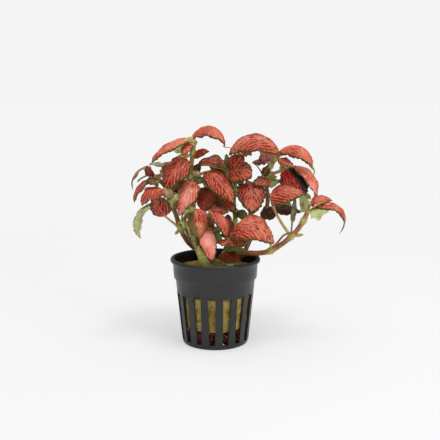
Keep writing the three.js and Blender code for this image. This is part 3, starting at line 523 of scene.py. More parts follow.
# A stem is its radius, the points of its path, which of them are knuckles, and its leaves. A leaf is the path
# point that it grows from, its base, tip, width, arch, the way its face looks, its droop and its finish.
# The narrowest leaves are closed buds.
STEMS = {
    "stem_left": (1.4, [
        (-7, 10, 40), (-9, 9, 51), (-17, 4, 61), (-21, 2, 69), (-24, 1, 79), (-27, 0, 85), (-28, 0, 92),
        (-33, 2, 98), (-38, 3, 101)], [3, 5, 6, 8], [
        (8, (-38, 3, 106), (-49, 3, 92), 9, 5, (-5, -1, 8), 0.2, "faint coral"),
        (8, (-38, 2, 100), (-40, -1, 107), 6, 1, (-4, -8, 2), 0.2, "deep red"),
        (8, (-40, 4, 101), (-47, 10, 96), 7, 1, (-3, -1, 10), 0.1, "pink"),
        (6, (-30, 8, 106), (-40, 9, 107), 7, 1, (0, -3, 9), 0.1, "grey green"),
        (7, (-34, 0, 96.6), (-40.5, -5, 97), 10, 2, (-1, -5, 8), 0.3, "half green"),
        (8, (-40, 3, 98), (-48, 0, 85), 8, 3, (-8, -5, 6), 0.3, "coral"),
        (6, (-30, -1, 92), (-43, -7, 84), 15, 6, (-3, -5, 9), 0.35, "coral"),
        (3, (-29.8, -4, 77.5), (-36, -4.5, 91), 12.5, 2, (-3, -9, 2), 0.25, "dark netted"),
        (5, (-36.5, 2, 84), (-45.5, 7, 62), 14.5, 7, (-8, 3, 3), 0.2, "pale green"),
        (3, (-22, 1, 68), (-24, -1, 66), 3, 0, (-4, -8, 5), 0.1, "green"),
        (4, (-23.5, 3, 82), (-23.5, 3, 91), 5, 0, (0, -8, 2), 0.1, "beige"),
        (5, (-26.5, -2, 88.5), (-30, -4, 95), 7, 1, (-1, -8, 3), 0.2, "beige"),
        (5, (-25.5, -1, 86), (-21.5, -2, 91), 5, 0, (0, -8, 3), 0.2, "pale green")]),
    "stem_left_tall": (1.4, [
        (-6, 14.5, 40), (-10, 14, 58), (-14, 12, 82), (-15, 10, 99), (-13.5, 9, 114),
        (-12.5, 8, 121)], [2, 3, 4, 5], [
        (5, (-14, 8, 123), (6, 4, 118), 15, 9.5, (0, -3, 10), 0.5, "smooth"),
        (5, (-15, 8, 122), (-37, -4, 109), 10, 4.5, (-2, -4, 10), 0.4, "smooth"),
        (4, (-16, 8, 116), (-26, 5, 116), 8, 1, (0, 6, 6), 0.2, "pale green"),
        (5, (-15, 6, 120), (-19, 0, 113), 7, 1, (-2, -8, 4), 0.3, "smooth"),
        (4, (-18, 7, 111), (-29, -4, 93.6), 16.8, 3, (-3, -8, 5), 0.25, "netted"),
        (4, (-13, 8, 112.4), (-3.4, 4, 115), 7, 1.2, (0, -7, 7), 0.2, "red"),
        (3, (-13, 6, 97), (-21, -6, 78), 13, 3, (-2, -9, 4), 0.3, "bright"),
        (3, (-5, 7, 103), (11, -5, 85), 14, 4, (2, -8, 5), 0.3, "netted"),
        (3, (-13, 8, 101), (-9, 5, 103), 6, 1, (1, -6, -2), 0.2, "beige"),
        (2, (-3, 10, 93), (-7.5, 3, 79), 12.5, 2, (0, -9, 4), 0.2, "deep red"),
        (3, (-18, 10, 97), (-28, 8, 90), 9, 1, (-1, -8, 5), 0.2, "half green"),
        (3, (-13, 8, 98.5), (-6.5, 6, 97), 6, 0, (0, -8, 4), 0.1, "green"),
        (3, (-14, 12, 99.5), (-9.5, 10, 107), 6, 0, (0, -8, 1), 0.1, "half green"),
        (3, (-17, 11, 99), (-22, 9, 104), 6, 0, (0, -8, 3), 0.1, "green")]),
    "stem_middle": (1.2, [
        (2, 15, 40), (7, 12, 57), (12, 10, 72), (11, 10, 82), (12, 12, 92), (10, 12, 101)], [2, 3, 4, 5], [
        (5, (8.5, 12.5, 100.6), (-11, 11, 105.5), 17, 3, (0, -3, 10), -0.4, "olive"),
        (5, (10, 9, 102), (17, 3, 113), 15, 2, (-3, -8, 3), 0.3, "netted"),
        (5, (10, 7, 103), (21.2, -4, 99.8), 16.5, 4, (0, -8, 6), 0.3, "netted"),
        (4, (20.5, 3, 97), (22, -12, 80), 17, 4, (0, -7, 7), 0.3, "dark netted"),
        (4, (5, 6, 86), (12, 0, 79), 6.5, 1, (1, -8, 4), 0.2, "coral"),
        (3, (13.5, 7, 79), (19, 2, 74.5), 6.5, 1, (0, -8, 5), 0.2, "green"),
        (5, (8, 12, 104), (6.5, 11, 113), 4, 0, (-2, -8, 1), 0.1, "green"),
        (4, (13, 8, 96), (17.5, 4, 99), 5, 0, (0, -8, 3), 0.1, "green"),
        (4, (9, 16, 91), (6, 28, 86), 10, 3, (0, 5, 8), 0.3, "coral"),
        (5, (8, 11, 103), (-3.5, 10, 105.5), 7, 1, (0, -8, 0), 0.2, "striped"),
        (3, (4.5, 9, 80.5), (1.5, 8, 91.5), 8, 1, (0, -8, 1), 0.2, "half green")]),
    "stem_right_tall": (1.3, [
        (9, 12.5, 40), (18, 12, 53), (22, 13, 61), (27, 14, 69), (31, 15, 77), (32, 13, 85), (31, 10, 93),
        (29, 8, 99), (33, 6, 106), (36, 5, 111)], [4, 7, 8, 9], [
        (9, (38, 3, 114), (8, 4, 113), 18, 11.5, (0, -5, 8), 0.35, "bold net"),
        (9, (38, 4, 115), (57.5, 2, 104.5), 12.5, 9.0, (0, -5, 9), 0.5, "smooth"),
        (9, (38, 2, 111), (46, -4, 106), 7, 1, (3, -7, 7), 0.2, "smooth"),
        (8, (31, 8, 108.5), (22, 12, 107.6), 7, 1, (0, -5, 8), 0.1, "mauve"),
        (8, (33, 8, 109), (29, 14, 117), 10, 1, (-3, 8, 5), 0.2, "mauve"),
        (7, (43, 4, 105), (53, -4, 90), 17, 2, (3, -8, 4), 0.3, "crimson"),
        (7, (47, 6, 106), (59.4, 1, 87), 13.5, 6.4, (7, -5, 6), 0.3, "rosy"),
        (7, (33, 4, 97), (22, -4, 96), 10, 2, (-1, -7, 7), 0.3, "dark netted"),
        (7, (36, 9, 101), (30, 14, 101), 6, 1, (0, -3, 8), 0.2, "mauve"),
        (7, (36, 4, 98.5), (33, -3, 94), 7, 1, (1, 4, 8), 0.2, "green"),
        (7, (28.5, 6, 100.5), (32.5, 4.5, 107), 5, 0, (-2, -8, 0), 0.1, "half green"),
        # These two brown leaves are painted shade: dark leaves deep in shadow behind the stalks.
        (4, (35, 13, 80), (53, 14, 77.2), 8.5, 1, (0, -5, 6), 0.3, "brown"),
        (4, (36.5, 12, 78.5), (27.5, 11, 75), 11, 1, (0, -5, 6), 0.2, "brown"),
        (7, (31, 12, 99), (35, 26, 94), 10, 3, (1, 5, 8), 0.3, "netted")]),
    "stem_right": (1.5, [
        (9, 8, 40), (11, 6, 50), (17, 1, 54), (26, -1, 54.6), (33, -3, 56.4), (45, -5, 65.5), (52, -6, 75),
        (54, -6, 80)], [4, 5, 6], [
        (7, (56, -6, 82), (73.6, -4, 66.6), 9, 12.8, (2, -4, 9), 0.3, "coral"),
        (7, (56, -5, 84.6), (69, -4, 86.6), 9, 3, (1, -5, 8), 0.2, "coral"),
        (6, (54, -4, 81), (50.4, 2, 89.4), 10, 1, (2, 7, 6), 0.2, "fresh green"),
        (7, (56, -7, 80.5), (68.5, -3, 81.8), 13.5, 1, (0, 7, 5), 0.2, "fresh green"),
        (5, (46, 1, 73), (48, 7, 88), 3.4, 1, (2, -8, 3), 0.1, "grey green"),
        (5, (32, -9, 90.5), (52, -15.5, 92.3), 17, 2, (1, -7, 8), 0.25, "fine net"),
        (5, (48, -6, 65), (52, -7, 67), 3, 0, (0, -2, 8), 0.1, "green")]),
    "stem_front_left": (1.1, [
        (-6, 6, 40), (-9.5, 3.5, 51), (-16, 0.5, 65), (-18.5, 0, 72), (-17, -2, 78),
        (-13, -4, 82)], [3, 5], [
        (5, (-11, -5, 82), (-9, -14, 66), 12.5, 2, (-1, -8, 4), 0.3, "olive sided"),
        (5, (-14, -7, 81), (-18, -14, 80), 6, 1, (0, -1, 8), 0.2, "green"),
        (2, (-13.5, -1, 65), (-11.5, -1, 57), 4, 0, (0, -8, 1), 0.1, "pale green")]),
    "stem_front": (1.1, [(-1, 4, 40), (-2, 1, 56), (-4, -4, 70), (-4, -6, 79)], [2, 3], [
        (2, (-6, -8, 71), (-1.8, -20, 54), 10, 3, (0, -8, 5), 0.3, "rosy"),
        (3, (-3, -8, 80), (6, -16, 66), 11, 5.5, (5, -5, 7), 0.3, "netted"),
        (3, (-4, -6, 78), (-2, -6, 71), 6, 1, (0, -8, 3), 0.2, "deep red"),
        (3, (-3, -5, 81), (8, -4, 80), 8, 1, (0, -5, 8), 0.1, "deep red"),
        (2, (-1, -5, 68), (4, -7, 61), 6, 0, (0, -8, 3), 0.1, "green")]),
    "stem_front_right": (1.1, [(5, 1, 40), (7, -2, 52), (8, -6, 58), (9, -10, 65)], [2, 3], [
        (3, (9.5, -12, 66.5), (33.9, -20, 64.4), 21, 14, (2, -6, 7), 0.35, "bold net"),
        (3, (8, -12, 65), (4, -22, 63), 9, 1, (-2, -5, 7), 0.2, "coral"),
        (3, (9, -13, 65), (16, -24, 63), 12, 1, (2, -6, 7), 0.2, "coral"),
        (2, (3.8, -7, 56), (13.5, -16, 52.6), 11, 1, (0, -5, 8), 0.2, "deep red"),
        (2, (10, -6, 58), (17, -6, 56), 9, 1, (0, 1, 10), 0.1, "green"),
        (2, (7, -4, 64), (7.5, 0.5, 78), 8, 1, (0, -8, 2), 0.2, "deep red"),
        (2, (6, -11, 59), (18, -14, 58.5), 5.5, 1, (0, -4, 8), 0.1, "green"),
        (1, (6.5, -15, 51), (13.5, -17.5, 50), 4, 0, (0, -4, 8), 0.1, "pale green")]),
    "stem_back_left": (1.2, [
        (-8, 18.5, 40), (-10, 20, 51), (-12, 24, 62), (-16, 27, 76), (-21, 30, 91),
        (-26, 31, 101)], [2, 3, 4, 5], [
        (5, (-26, 33, 103), (-32, 47, 93), 14, 4, (-3, 8, 6), 0.3, "netted"),
        (5, (-22, 32, 104), (-19, 38, 112), 9, 2, (-2, 8, 2), 0.2, "coral"),
        (5, (-30, 32, 98), (-41, 34, 95), 9, 2, (-5, 4, 8), 0.3, "bright"),
        (4, (-18, 32, 89), (-20, 45, 76), 13, 4, (-1, 8, 6), 0.3, "coral"),
        (4, (-27, 31, 88), (-41, 38, 80), 13, 4, (-6, 4, 6), 0.3, "netted"),
        (2, (-12, 27, 66), (-12, 38, 56), 11, 3, (-1, 8, 6), 0.3, "half green"),
        (3, (-18, 24, 80), (-20, 13, 84), 10, 2, (-1, -5, 9), 0.3, "coral"),
        (4, (-22, 27, 93), (-26, 14, 95), 11, 3, (-1, -4, 9), 0.3, "deep red"),
        (5, (-27, 28, 103), (-29, 15, 106), 10, 3, (-1, -3, 9), 0.3, "coral")]),
    "stem_back": (1.2, [
        (-1, 19, 40), (-1, 21, 50), (-1, 25, 60), (-3, 29, 76), (-1, 31, 88), (4, 33, 98)], [2, 3, 4, 5], [
        (5, (1, 35, 96), (-6, 46, 87), 13, 4, (-3, 8, 6), 0.3, "coral"),
        (5, (6, 35, 99), (10, 47, 88), 13, 4, (2, 8, 6), 0.3, "netted"),
        (4, (-3, 33, 86), (-3, 45, 74), 13, 4, (0, 8, 6), 0.3, "bright"),
        (2, (-2, 27, 65), (-1, 40, 56), 11, 3, (0, 8, 6), 0.3, "deep red"),
        (4, (-3, 28, 89), (-4, 15, 85), 11, 3, (0, -5, 8), 0.3, "coral")]),
    "stem_back_middle": (1.2, [
        (5, 18.5, 40), (8, 20, 50), (14, 24, 58), (21, 27, 69), (22, 30, 79), (22, 32, 89), (17, 34, 101),
        (16, 34, 108)], [3, 4, 5, 6, 7], [
        (7, (17, 35, 111), (26, 36, 116), 11, 3, (-1, 7, 6), 0.3, "mauve"),
        (7, (16, 37, 111), (17, 47, 113), 10, 3, (0, 5, 8), 0.3, "bright"),
        (6, (15, 36, 103), (12, 48, 98), 12, 3, (-1, 8, 8), 0.3, "netted"),
        (5, (23, 34, 87), (24, 45, 76), 13, 4, (1, 8, 6), 0.3, "coral"),
        (3, (23, 29, 69), (26, 42, 57), 13, 4, (1, 8, 6), 0.3, "half green"),
        (5, (22, 28, 90), (21, 15, 85), 12, 3, (0, -5, 8), 0.3, "deep red"),
        (6, (16, 30, 102), (13, 19, 98), 11, 3, (0, -4, 9), 0.3, "coral")]),
    "stem_back_right": (1.2, [
        (10, 17, 40), (13, 18, 52), (23, 22, 62), (33, 26, 74), (41, 28, 85), (48, 28, 96)], [3, 4, 5], [
        (5, (49, 30, 97), (54, 42, 87), 14, 4, (4, 7, 6), 0.3, "netted"),
        (5, (46, 29, 99), (41, 34, 106), 10, 2, (-1, 7, 4), 0.2, "coral"),
        (4, (42, 31, 86), (41, 45, 79), 12, 4, (0, 8, 7), 0.3, "coral"),
        (4, (46, 28, 88), (61, 34, 82), 12, 3, (3, 6, 8), 0.3, "bright"),
        (3, (36, 28, 77), (49, 36, 78), 11, 3, (1, 7, 7), 0.3, "half green"),
        (5, (47, 25, 97), (43, 12, 91), 12, 3, (0, -5, 8), 0.3, "coral"),
        (4, (40, 25, 87), (36, 14, 84), 11, 2, (0, -5, 8), 0.3, "deep red")]),
}
STALK_SIDES, STALK_STEP, STALK_TAPER, STALK_UNEVENNESS = 16, 0.7, (1.12, 0.2), 0.06
KNUCKLE_SWELL, KNUCKLE_REACH, KNUCKLE_GREEN_REACH = 0.50, 1.9, 2.4
FOOT_HEIGHT, FOOT_REACH = 53.0, 4.0
BUD_WIDTH, BUD_SIDES = 3, 12
BUD_SIZES = [0.9 * share for share in (0.9, 0.85, 0.8, 0.95, 1.1, 1.1, 0.8, 0.3)]
LEAF_STALK_SIDES, LEAF_STALK_STEPS = 10, 10
SHOOT_SIDES = 10
# Shoots get painted shade below this height, growing over this reach, where they dip into the wool.
WOOL_SHADE_TOP, WOOL_SHADE_REACH = 52.0, 5.0
HAIR_COUNT, HAIR_LENGTHS, HAIR_SIZES, HAIR_TAN = 320, (0.5, 1.1), (0.05, 0.04, 0.015), (0.60, 0.46, 0.30)
BROWN_RED, PINK_BROWN, OLIVE = (0.25, 0.068, 0.036), (0.39, 0.155, 0.075), (0.21, 0.20, 0.055)
DARK_OLIVE, STRAW, COPPER = (0.14, 0.115, 0.040), (0.44, 0.31, 0.10), (0.27, 0.155, 0.055)
KNUCKLE_GREEN, FOOT_GREEN, FRESH_GREEN = (0.52, 0.53, 0.17), (0.72, 0.74, 0.22), (0.33, 0.36, 0.10)
TAN_GREEN, SHEATH_TAN = (0.52, 0.36, 0.15), (0.62, 0.44, 0.17)
MOTTLE_TONES = [(0.30, (0.62, 0.50, 0.48)), (0.5, (0.98, 0.94, 0.92)), (0.7, (1.25, 1.35, 1.25))]
# The skin of a stem at its foot and at its top, and how far its foot is swollen.
STEM_SKINS = {
    "stem_left": (BROWN_RED, OLIVE, 0.0), "stem_left_tall": (DARK_OLIVE, STRAW, 0.0),
    "stem_middle": (OLIVE, OLIVE, 0.0), "stem_right_tall": (BROWN_RED, COPPER, 0.0),
    "stem_right": (PINK_BROWN, PINK_BROWN, 0.0), "stem_front_left": (BROWN_RED, OLIVE, 0.0),
    "stem_front": (FRESH_GREEN, OLIVE, 0.3), "stem_front_right": (OLIVE, OLIVE, 0.2),
    "stem_back_left": (BROWN_RED, OLIVE, 0.0), "stem_back": (OLIVE, BROWN_RED, 0.0),
    "stem_back_middle": (PINK_BROWN, OLIVE, 0.0), "stem_back_right": (BROWN_RED, PINK_BROWN, 0.0),
}
# Shoots, sheaths and tendrils beside the leaves: the points, the radius at both ends and the skin.
SHOOTS = {
    "stem_left_tall": [
        ([(4.5, 4, 118.6), (6.5, 4, 117.2), (8, 4, 117.6), (10, 4, 116.6)], 0.3, 0.15, BROWN_RED),
        ([(-12.6, 7, 121.4), (-15, 6.5, 118.6), (-17, 6, 115.6), (-18, 6, 112.6)], 2.0, 1.2, SHEATH_TAN),
        ([(-12.2, 6, 122), (-16, 4.6, 121.8), (-21, 3.2, 120)], 2.2, 0.9, SHEATH_TAN),
        ([(-14, 9, 100), (-10.5, 7, 100.5), (-5, 5, 102)], 0.6, 0.45, TAN_GREEN)],
    "stem_right_tall": [
        ([(56, 1.6, 107.5), (57.8, 1.4, 105.6), (58.8, 1.2, 103), (58, 1.2, 101)], 0.9, 0.3, KNUCKLE_GREEN),
        ([(31, 9, 96), (28.5, 9, 101), (25, 9, 106), (22.5, 10, 108)], 0.45, 0.3, BROWN_RED),
        ([(36, 6, 110.5), (39, 5, 113), (43, 4, 113.6)], 1.1, 0.6, TAN_GREEN)],
    "stem_right": [
        ([(32.5, -3, 57.5), (36, -4.5, 60.6), (41, -5.5, 66.6), (46, -6, 68)], 0.75, 0.55, PINK_BROWN)],
    "stem_front_right": [
        ([(16, -7, 56.5), (18.5, -9, 60), (20.5, -11, 66)], 0.8, 0.6, OLIVE),
        ([(31.5, -17, 63.5), (32.5, -11, 61.5), (32.8, -5, 58.5)], 0.5, 0.7, FRESH_GREEN)],
    "stem_left": [
        ([(-22, 1, 72), (-20, -1, 75), (-19.5, -2, 79)], 0.9, 0.6, FRESH_GREEN)],
    "stem_front_left": [
        ([(-11.3, 1.5, 58), (-9.2, -1.5, 54.5), (-6.6, -5.5, 50), (-4.2, -9, 45.5)], 1.5, 3.7, FOOT_GREEN),
        ([(-17, -2, 74), (-15.5, -4, 69), (-15, -4, 65)], 0.8, 0.5, KNUCKLE_GREEN)],
}


def mixed(low, high, share):
    return tuple(a + (b - a) * share for a, b in zip(low, high))


def grown_curve(path):
    """A smooth line through the points of a path, with a point every STALK_STEP or so."""
    knots = [Vector(p) for p in path]
    ends = [knots[0] * 2 - knots[1]] + knots + [knots[-1] * 2 - knots[-2]]
    spots = []
    for k in range(len(knots) - 1):
        a, b, c, d = ends[k:k + 4]
        gaps = [max((q - p).length_squared ** 0.25, 1e-4) for p, q in ((a, b), (b, c), (c, d))]
        leave = ((b - a) / gaps[0] - (c - a) / (gaps[0] + gaps[1]) + (c - b) / gaps[1]) * gaps[1]
        arrive = ((c - b) / gaps[1] - (d - b) / (gaps[1] + gaps[2]) + (d - c) / gaps[2]) * gaps[1]
        steps = max(2, round((c - b).length / STALK_STEP))
        for i in range(steps + (k == len(knots) - 2)):
            t = i / steps
            spots.append(b + leave * t + (c * 3 - b * 3 - leave * 2 - arrive) * t * t
                         + (b * 2 - c * 2 + leave + arrive) * t ** 3)
    return spots


def blade_rib(base, tip, arch, face):
    """The four control points of a leaf's arched rib, and the way to the leaf's left."""
    start, end = Vector(base), Vector(tip)
    chord = (end - start).normalized()
    look = Vector(face)
    up = (look - chord * look.dot(chord)).normalized()
    rise = up * arch * 4 / 3
    return (start, start.lerp(end, 0.14) + rise, end.lerp(start, 0.14) + rise, end), chord.cross(up)


def along_rib(rib, t):
    a, b, c, d = rib
    s = 1 - t
    spot = a * s ** 3 + b * 3 * s * s * t + c * 3 * s * t * t + d * t ** 3
    heading = (b - a) * s * s + (c - b) * 2 * s * t + (d - c) * t * t
    return spot, heading.normalized()


def grow_core(stalk, radius, path, knuckles, skin):
    """Adds the stalk itself, and returns the points of its centre line and its radius at each."""
    low_skin, high_skin, foot_swell = skin
    spots = grown_curve(path)
    swollen = [Vector(path[k]) for k in knuckles]
    sizes, hues = [], []
    for i, spot in enumerate(spots):
        near = min((spot - k).length for k in swollen)
        swell = KNUCKLE_SWELL * math.exp(-(near / KNUCKLE_REACH) ** 2)
        foot = math.exp(-((spot.z - FOOT_HEIGHT) / FOOT_REACH) ** 2)
        rise = i / (len(spots) - 1)
        sizes.append(radius * (STALK_TAPER[0] - STALK_TAPER[1] * rise + swell + foot_swell * foot
                               + STALK_UNEVENNESS * noise.noise(spot * 0.5)))
        hue = mixed(low_skin, high_skin, rise ** 2.5)
        hue = mixed(hue, FOOT_GREEN, 0.9 * foot if foot_swell else 0.0)
        hues.append(mixed(hue, KNUCKLE_GREEN, 0.95 * math.exp(-(near / KNUCKLE_GREEN_REACH) ** 2)))
    stalk.add(spots, sizes, STALK_SIDES, hues)
    return spots, sizes


def grow_leaf_stalk(stalk, foot, leaf, olive_stem):
    """Adds the thin stalk that carries a leaf, or a closed bud where the leaf is narrow."""
    _, base, tip, width, arch, face, _, finish = leaf
    if width <= BUD_WIDTH:
        shares = [i / (len(BUD_SIZES) - 1) for i in range(len(BUD_SIZES))]
        hues = [mixed(KNUCKLE_GREEN, TAN_GREEN, share) for share in shares]
        stalk.add([foot.lerp(Vector(tip), share) for share in shares], BUD_SIZES, BUD_SIDES, hues)
        return
    rib, _ = blade_rib(base, tip, arch, face)
    join = along_rib(rib, 0.06)[0]
    heading = ((join - foot).normalized() * 1.4 + along_rib(rib, 0)[1]).normalized()
    bend = join - heading * (join - foot).length * 0.4
    thick = 0.52 + 0.014 * width
    fresh = "green" in finish or finish in ("beige", "olive") or olive_stem
    end_hue = FRESH_GREEN if fresh else TAN_GREEN
    route, girth, hues = [], [], []
    for i in range(LEAF_STALK_STEPS + 1):
        t = i / LEAF_STALK_STEPS
        route.append(foot * (1 - t) ** 2 + bend * 2 * t * (1 - t) + join * t * t)
        taper = 1.0 if i < 9 else 1.45 - 0.05 * i
        girth.append(thick * (1.35 - 0.35 * min(1.0, 2.5 * i / LEAF_STALK_STEPS)) * taper)
        hues.append(mixed(KNUCKLE_GREEN, end_hue, min(1.0, 3 * i / LEAF_STALK_STEPS)))
    stalk.add(route, girth, LEAF_STALK_SIDES, hues)


def grow_shoot(stalk, path, start, end, hue):
    """Adds a shoot, with painted shade that turns it darker olive where it dips into the wool."""
    run = grown_curve(path)
    sizes = [start + (end - start) * i / (len(run) - 1) for i in range(len(run))]
    wool_shade_shares = [max(0.0, min(0.8, (WOOL_SHADE_TOP - spot.z) / WOOL_SHADE_REACH)) for spot in run]
    stalk.add(run, sizes, SHOOT_SIDES, [mixed(hue, OLIVE, depth) for depth in wool_shade_shares])


def grow_hairs(stalk, spots, sizes, chance):
    for _ in range(HAIR_COUNT):
        i = chance.randrange(2, len(spots) - 1)
        along = (spots[i + 1] - spots[i - 1]).normalized()
        turn = chance.uniform(0, 2 * math.pi)
        outward = along.orthogonal().normalized() * math.cos(turn)
        outward += along.cross(along.orthogonal()).normalized() * math.sin(turn)
        lean = Vector([chance.gauss(0, 0.3) for _ in range(3)])
        foot = spots[i] + outward * sizes[i] * 0.9
        reach = chance.uniform(*HAIR_LENGTHS)
        hair = [foot, foot + (outward + lean * 0.5) * reach * 0.5, foot + (outward + lean) * reach]
        stalk.add(hair, HAIR_SIZES, hues=[HAIR_TAN] * len(hair))


def stalk_mesh(name, stem_name):
    radius, path, knuckles, leaves = STEMS[stem_name]
    skin = STEM_SKINS[stem_name]
    stalk = Strands()
    spots, sizes = grow_core(stalk, radius, path, knuckles, skin)
    for leaf in leaves:
        grow_leaf_stalk(stalk, Vector(path[leaf[0]]), leaf, skin[0] == OLIVE)
    for shoot in SHOOTS.get(stem_name, []):
        grow_shoot(stalk, *shoot)
    grow_hairs(stalk, spots, sizes, random.Random(name))
    piece = mesh_object(name, stalk.points, stalk.faces)
    hues = [channel for hue in stalk.hues for channel in (*hue, 1.0)]
    piece.data.attributes.new("skin_hue", "FLOAT_COLOR", "POINT").data.foreach_set("color", hues)
    return piece


stalk_skin, tree, shader = new_material("stalk_skin")
place = add_node(tree, "ShaderNodeTexCoord").outputs["Object"]
skin_hue = add_node(tree, "ShaderNodeAttribute", attribute_name="skin_hue").outputs["Color"]
mottle = tone_ramp(tree, grain(tree, place, Scale=420.0, Detail=5.0)["Amount"], MOTTLE_TONES)
feed(tree, shader, {
    "Base Color": blend(tree, 1.0, skin_hue, mottle, "MULTIPLY"),
    "Roughness": 0.42, "Specular IOR Level": 0.32, "Subsurface Weight": 0.12,
    "Subsurface Radius": (0.002, 0.0008, 0.0005), "Subsurface Scale": 1.0,
    "Normal": grain(tree, place, Scale=1800.0, Strength=0.25)["Relief"]})

for stem_name in STEMS:
    stalk = stalk_mesh(stem_name.replace("stem", "stalk"), stem_name)
    stalk.data.materials.append(stalk_skin)
    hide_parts(stem_name)
    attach(stalk, "root")

# ---- Leaf blades ------------------------------------------------------------------------------------------
# Thin, soft oval blades, quilted between arching veins, with a sunk rib and a finely scalloped, wavy edge.
# The upper face is netted coral on dark maroon, the edge is dark green and the underside pale green.

# A finish is the colour of the veins, the colour of the flesh between them, the colour of the underside, how
# strong the dark net is from 0 to 1, and how wide the green edge is.
FINISHES = {
    "coral": ((0.86, 0.31, 0.19), (0.54, 0.054, 0.020), (0.38, 0.40, 0.12), 0.5, 0.6),
    "faint coral": ((0.70, 0.36, 0.25), (0.44, 0.19, 0.11), (0.44, 0.46, 0.20), 0.3, 0.4),
    "bright": ((0.98, 0.46, 0.33), (0.70, 0.082, 0.038), (0.42, 0.42, 0.15), 0.35, 0.5),
    "rosy": ((1.0, 0.46, 0.37), (0.92, 0.22, 0.15), (0.42, 0.42, 0.15), 0.12, 0.35),
    "smooth": ((0.84, 0.29, 0.19), (0.66, 0.115, 0.060), (0.42, 0.42, 0.16), 0.2, 0.6),
    "netted": ((0.86, 0.29, 0.165), (0.46, 0.036, 0.013), (0.32, 0.36, 0.10), 0.65, 0.7),
    "bold net": ((0.88, 0.31, 0.185), (0.48, 0.040, 0.014), (0.32, 0.36, 0.10), 0.82, 0.6),
    "fine net": ((0.80, 0.25, 0.15), (0.40, 0.030, 0.011), (0.32, 0.36, 0.10), 0.95, 0.8),
    # Dark netted is partly a darker leaf and partly painted shade for leaves that lie in shadow.
    "dark netted": ((0.76, 0.24, 0.145), (0.34, 0.022, 0.009), (0.24, 0.27, 0.08), 0.85, 0.9),
    # Crimson's near black underside is painted shade, like its wide dark right side.
    "crimson": ((0.64, 0.075, 0.036), (0.38, 0.013, 0.005), (0.030, 0.020, 0.016), 1.0, 2.0),
    "red": ((0.80, 0.140, 0.070), (0.62, 0.046, 0.022), (0.24, 0.12, 0.06), 0.3, 0.6),
    "olive": ((0.76, 0.19, 0.115), (0.50, 0.055, 0.030), (0.24, 0.21, 0.055), 1.0, 0.7),
    "olive sided": ((0.88, 0.32, 0.18), (0.52, 0.050, 0.020), (0.38, 0.40, 0.12), 0.4, 0.7),
    "striped": ((0.52, 0.43, 0.15), (0.18, 0.15, 0.036), (0.26, 0.24, 0.07), 0.5, 0.4),
    "pink": ((0.66, 0.33, 0.25), (0.46, 0.18, 0.12), (0.42, 0.42, 0.22), 0.4, 0.4),
    "mauve": ((0.58, 0.19, 0.14), (0.34, 0.058, 0.040), (0.32, 0.10, 0.07), 0.6, 0.5),
    # Deep red is partly the deeper red of some leaves and partly painted shade for leaves that lie in shadow.
    "deep red": ((0.54, 0.105, 0.065), (0.27, 0.026, 0.013), (0.18, 0.10, 0.04), 0.6, 0.6),
    "half green": ((0.46, 0.150, 0.060), (0.22, 0.105, 0.032), (0.19, 0.20, 0.045), 0.8, 1.2),
    "grey green": ((0.48, 0.48, 0.31), (0.30, 0.33, 0.18), (0.42, 0.45, 0.27), 0.4, 0.3),
    "green": ((0.36, 0.42, 0.13), (0.155, 0.215, 0.052), (0.32, 0.37, 0.11), 0.5, 0.4),
    "fresh green": ((0.74, 0.79, 0.40), (0.33, 0.42, 0.11), (0.74, 0.82, 0.36), 0.8, 0.5),
    "pale green": ((0.84, 0.86, 0.52), (0.48, 0.53, 0.20), (0.70, 0.74, 0.38), 0.5, 0.5),
    "beige": ((0.66, 0.50, 0.30), (0.50, 0.36, 0.19), (0.54, 0.45, 0.25), 0.3, 0.3),
    # Brown is painted shade: the colour of a leaf that lies deep in shadow.
    "brown": ((0.160, 0.060, 0.040), (0.085, 0.034, 0.020), (0.065, 0.034, 0.022), 0.6, 0.3),
}
# The edge is this green. Two finishes have another edge colour, and their edge reaches far in on the left or
# on the right as painted shade on that side of the blade: near black on crimson, olive brown on olive sided.
EDGE_GREEN = (0.052, 0.060, 0.008)
EDGE_HUES_AND_SHADED_SIDES = {"crimson": ((0.030, 0.018, 0.015), 0.1, 3.8), "olive sided": ((0.20, 0.125, 0.040), 5.0, 0.8)}
SIDE_LINE, SIDE_LINE_WANDER = 0.12, 0.25
SCALLOP_SHARES = {"pale green": 1.7, "red": 0.3, "bold net": 0.6, "fine net": 0.6}
RIB_STEPS, ROW_STEP, COLUMN_STEP = 80, 0.38, 0.85
BLADE_THICK, BLADE_RIM, RIM_REACH = 0.34, 0.12, 0.8
LEAST_HALF_WIDTHS = (0.42, 0.14)
SCALLOP_PITCH = 3.5
WAVE_PITCH, WAVE_WIDTH, WAVE_HEIGHT = 0.19, 0.05, 0.095
QUILT_HEIGHT, GROOVE_DEPTH, CRUMPLE_HEIGHT, RUFFLE_HEIGHT, KEEL_DEPTH = 0.30, 0.45, 0.22, 0.085, 0.45
VEIN_PITCH, VEIN_SPREAD, VEIN_SLANT, VEIN_BOW = 1.38, 0.36, 1.5, 0.22
FLESH_TONES = [(0.32, (0.58, 0.34, 0.26)), (0.5, (0.92, 0.80, 0.70)), (0.66, (1.08, 1.50, 1.50))]
VEIN_TONES = [(0.34, (0.88, 0.64, 0.58)), (0.5, (0.93, 0.90, 0.91)), (0.64, (0.98, 1.22, 1.34))]
BELLY_TONES = [(0.32, (0.60, 0.62, 0.55)), (0.5, (0.95, 0.95, 0.9)), (0.66, (1.2, 1.15, 1.2))]
NET_SHADE = (0.16, 0.48, 0.10, 1.0)


def egg(t, full):
    """The width of a blade along its rib, as a share of its widest. A full blade is rounder at its tip."""
    if not 0 < t < 1:
        return 0.0
    oval = math.sin(math.pi * t ** (0.74 + 0.14 * full)) ** (0.62 - 0.1 * full)
    return oval * (1 - (0.45 - 0.25 * full) * t ** 5)


def rib_walk(rib):
    """The way along a rib from its base to each of its steps."""
    walk, last = [0.0], rib[0]
    for i in range(1, RIB_STEPS + 1):
        spot = along_rib(rib, i / RIB_STEPS)[0]
        walk.append(walk[-1] + (spot - last).length)
        last = spot
    return walk


